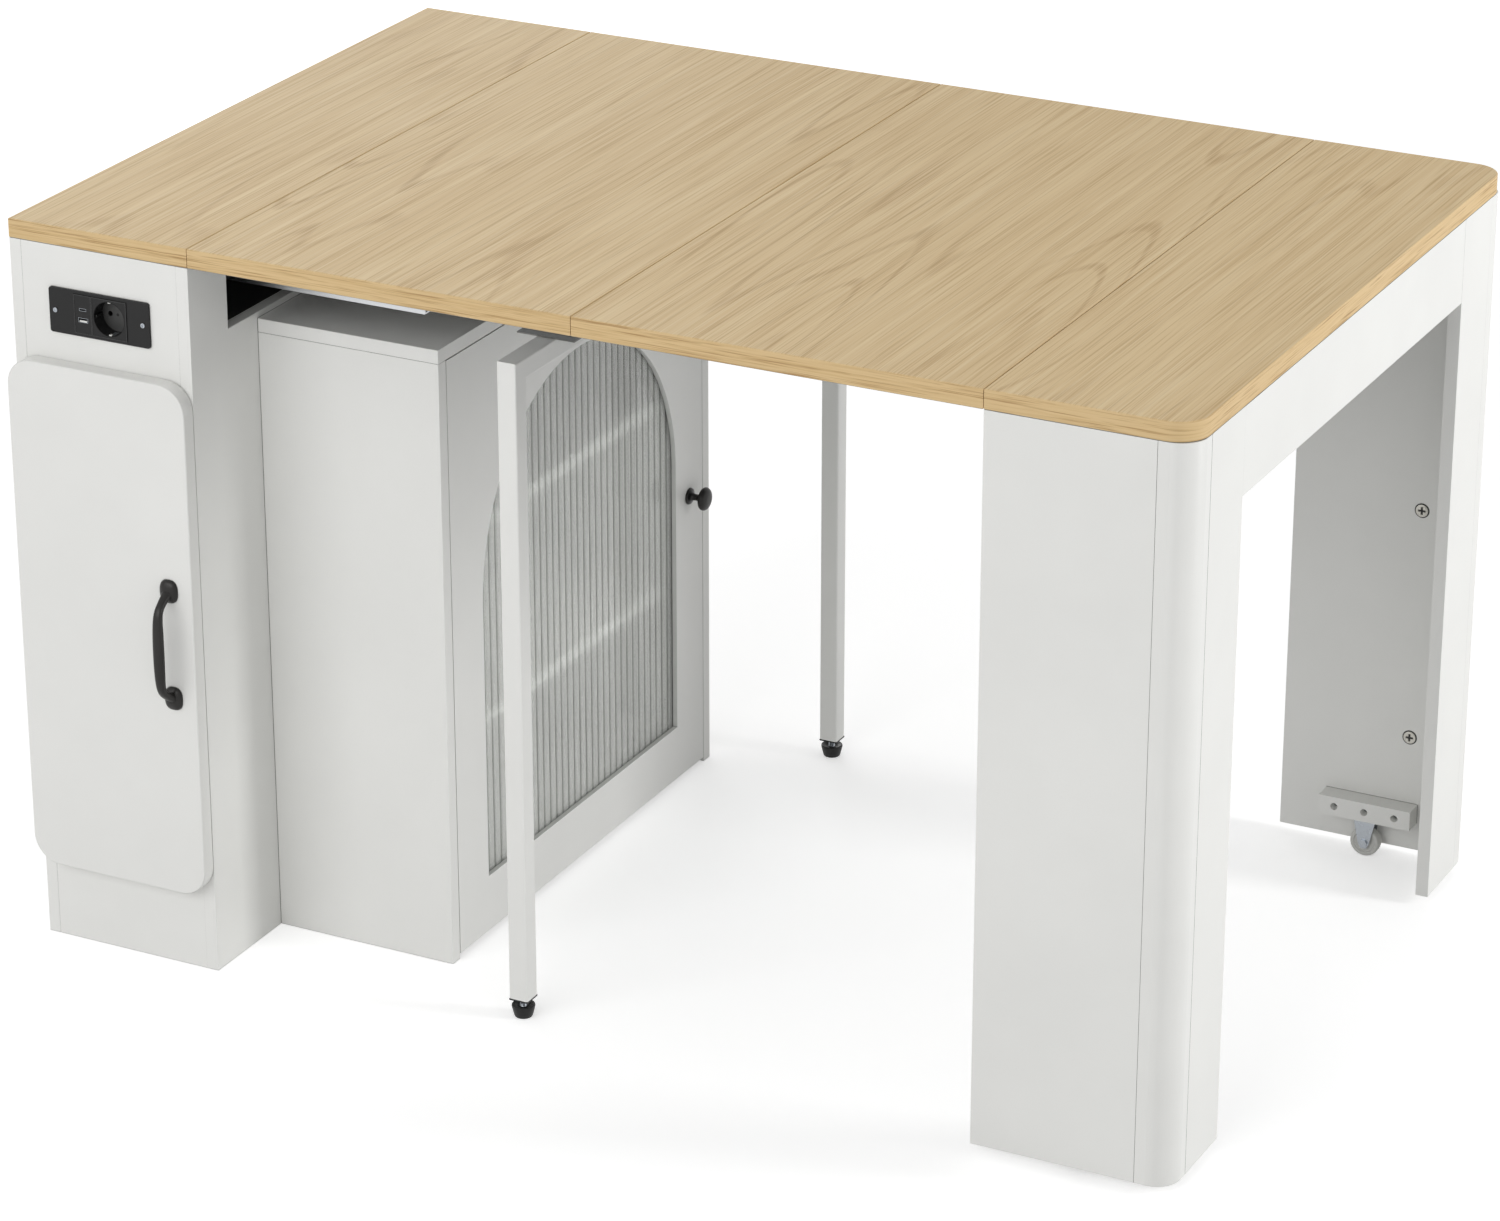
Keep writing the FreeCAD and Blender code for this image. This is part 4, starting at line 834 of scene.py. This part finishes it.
make_handle()
make_knob()
make_feet()
make_wheels()
make_cam_discs()
make_plate_screws()
make_recess()
make_module_rims()
make_ports()
make_glass()


# White boards: eased edges, so that every joint shows as a fine groove

EASED_STARTS = ("tower_", "cabinet_", "gate_", "arched_door", "wheel_blocks")
WELD_M = 0.00002
EDGE_ROUND_M = 0.0007
EDGE_SEGMENTS = 2
EDGE_ANGLE = 50


def ease_edges():
    for name, obj in NODES.items():
        if not name.startswith(EASED_STARTS) or "hinge" in name:
            continue
        obj.modifiers.new("joined_faces", "WELD").merge_threshold = WELD_M
        bevel = obj.modifiers.new("eased_edges", "BEVEL")
        bevel.width = EDGE_ROUND_M
        bevel.segments = EDGE_SEGMENTS
        bevel.limit_method = "ANGLE"
        bevel.angle_limit = math.radians(EDGE_ANGLE)


ease_edges()


# Camera, surroundings, floor and lamps: places and sizes in metres, turns in degrees

SENSOR_MM = 36.0
LENS_MM = 123.65
CAMERA_PLACE_M = (2.4217, -4.7828, 2.652)
CAMERA_DOWN = 23.05
CAMERA_TURN = 26.94
CLIP_END_M = 100.0
PLAIN_WHITE = (1.0, 1.0, 1.0, 1.0)
SHOWN_STRENGTH = 1.0
AMBIENT_STRENGTH = 0.5
FLOOR_HALF_M = 15.0
FLOOR_COLOUR = (0.82, 0.82, 0.82, 1.0)
# distances from the middle between which the floor's glow grows, and its strengths there
FLOOR_GLOW = (2.5, 8.0, 0.45, 0.62)
LIT_POINT_M = (0.0, 0.0, 0.5)
# lamps: name, place, width and height, power in watts
LAMPS = (
    ("key", (-0.8, -3.9, 2.2), (4.0, 2.2), 66.0),
    ("right", (4.2, 0.85, 1.5), (0.8, 1.5), 66.0),
    ("back", (-3.6, 3.8, 1.5), (3.0, 2.0), 46.0),
)


def make_camera():
    data = bpy.data.cameras.new("camera")
    data.sensor_width = SENSOR_MM
    data.lens = LENS_MM
    data.clip_end = CLIP_END_M
    camera = bpy.data.objects.new("camera", data)
    camera.location = CAMERA_PLACE_M
    camera.rotation_euler = Euler((math.radians(90 - CAMERA_DOWN), 0.0, math.radians(CAMERA_TURN)), "XYZ")
    bpy.context.scene.collection.objects.link(camera)
    bpy.context.scene.camera = camera


def white_backdrop_world():
    """Soft pale surroundings that show plain white to the eye and in reflections."""
    world = bpy.data.worlds.new("studio")
    bpy.context.scene.world = world
    tree = Tree(world)
    shown = tree.nodes["Background"]
    tree.set(shown, "Color", PLAIN_WHITE)
    tree.set(shown, "Strength", SHOWN_STRENGTH)
    ambient = tree.add("Background", {"Color": PLAIN_WHITE, "Strength": AMBIENT_STRENGTH})
    tree.set(tree.nodes["World Output"], "Surface",
             tree.mix_shaders(tree.seen(), ambient.outputs["Background"], shown.outputs["Background"]))


def floor():
    """A plain white floor that keeps a soft shadow."""
    mesh = bpy.data.meshes.new("floor")
    corners = [(x * FLOOR_HALF_M, y * FLOOR_HALF_M, 0) for x, y in ((-1, -1), (1, -1), (1, 1), (-1, 1))]
    mesh.from_pydata(corners, [], [(0, 1, 2, 3)])
    obj = bpy.data.objects.new("floor", mesh)
    bpy.context.scene.collection.objects.link(obj)
    tree = new_finish("floor_finish")
    # further out the floor glows a little more, so that it meets the white surroundings
    away = tree.add("VectorMath", {0: tree.place()}, operation="LENGTH").outputs["Value"]
    glow = tree.math("MULTIPLY", tree.seen(), tree.span(away, *FLOOR_GLOW))
    mesh.materials.append(tree.surface(Base_Color=FLOOR_COLOUR, Roughness=0.9, Emission_Color=PLAIN_WHITE,
                                       Emission_Strength=glow))


def area_light(name, place, size, power):
    data = bpy.data.lights.new(name, "AREA")
    data.shape = "RECTANGLE"
    data.size, data.size_y = size
    data.energy = power
    obj = bpy.data.objects.new(name, data)
    obj.location = place
    obj.rotation_euler = (Vector(LIT_POINT_M) - Vector(place)).to_track_quat("-Z", "Y").to_euler()
    bpy.context.scene.collection.objects.link(obj)


make_camera()
white_backdrop_world()
floor()
for lamp in LAMPS:
    area_light(*lamp)
bpy.context.scene.view_settings.view_transform = "Standard"
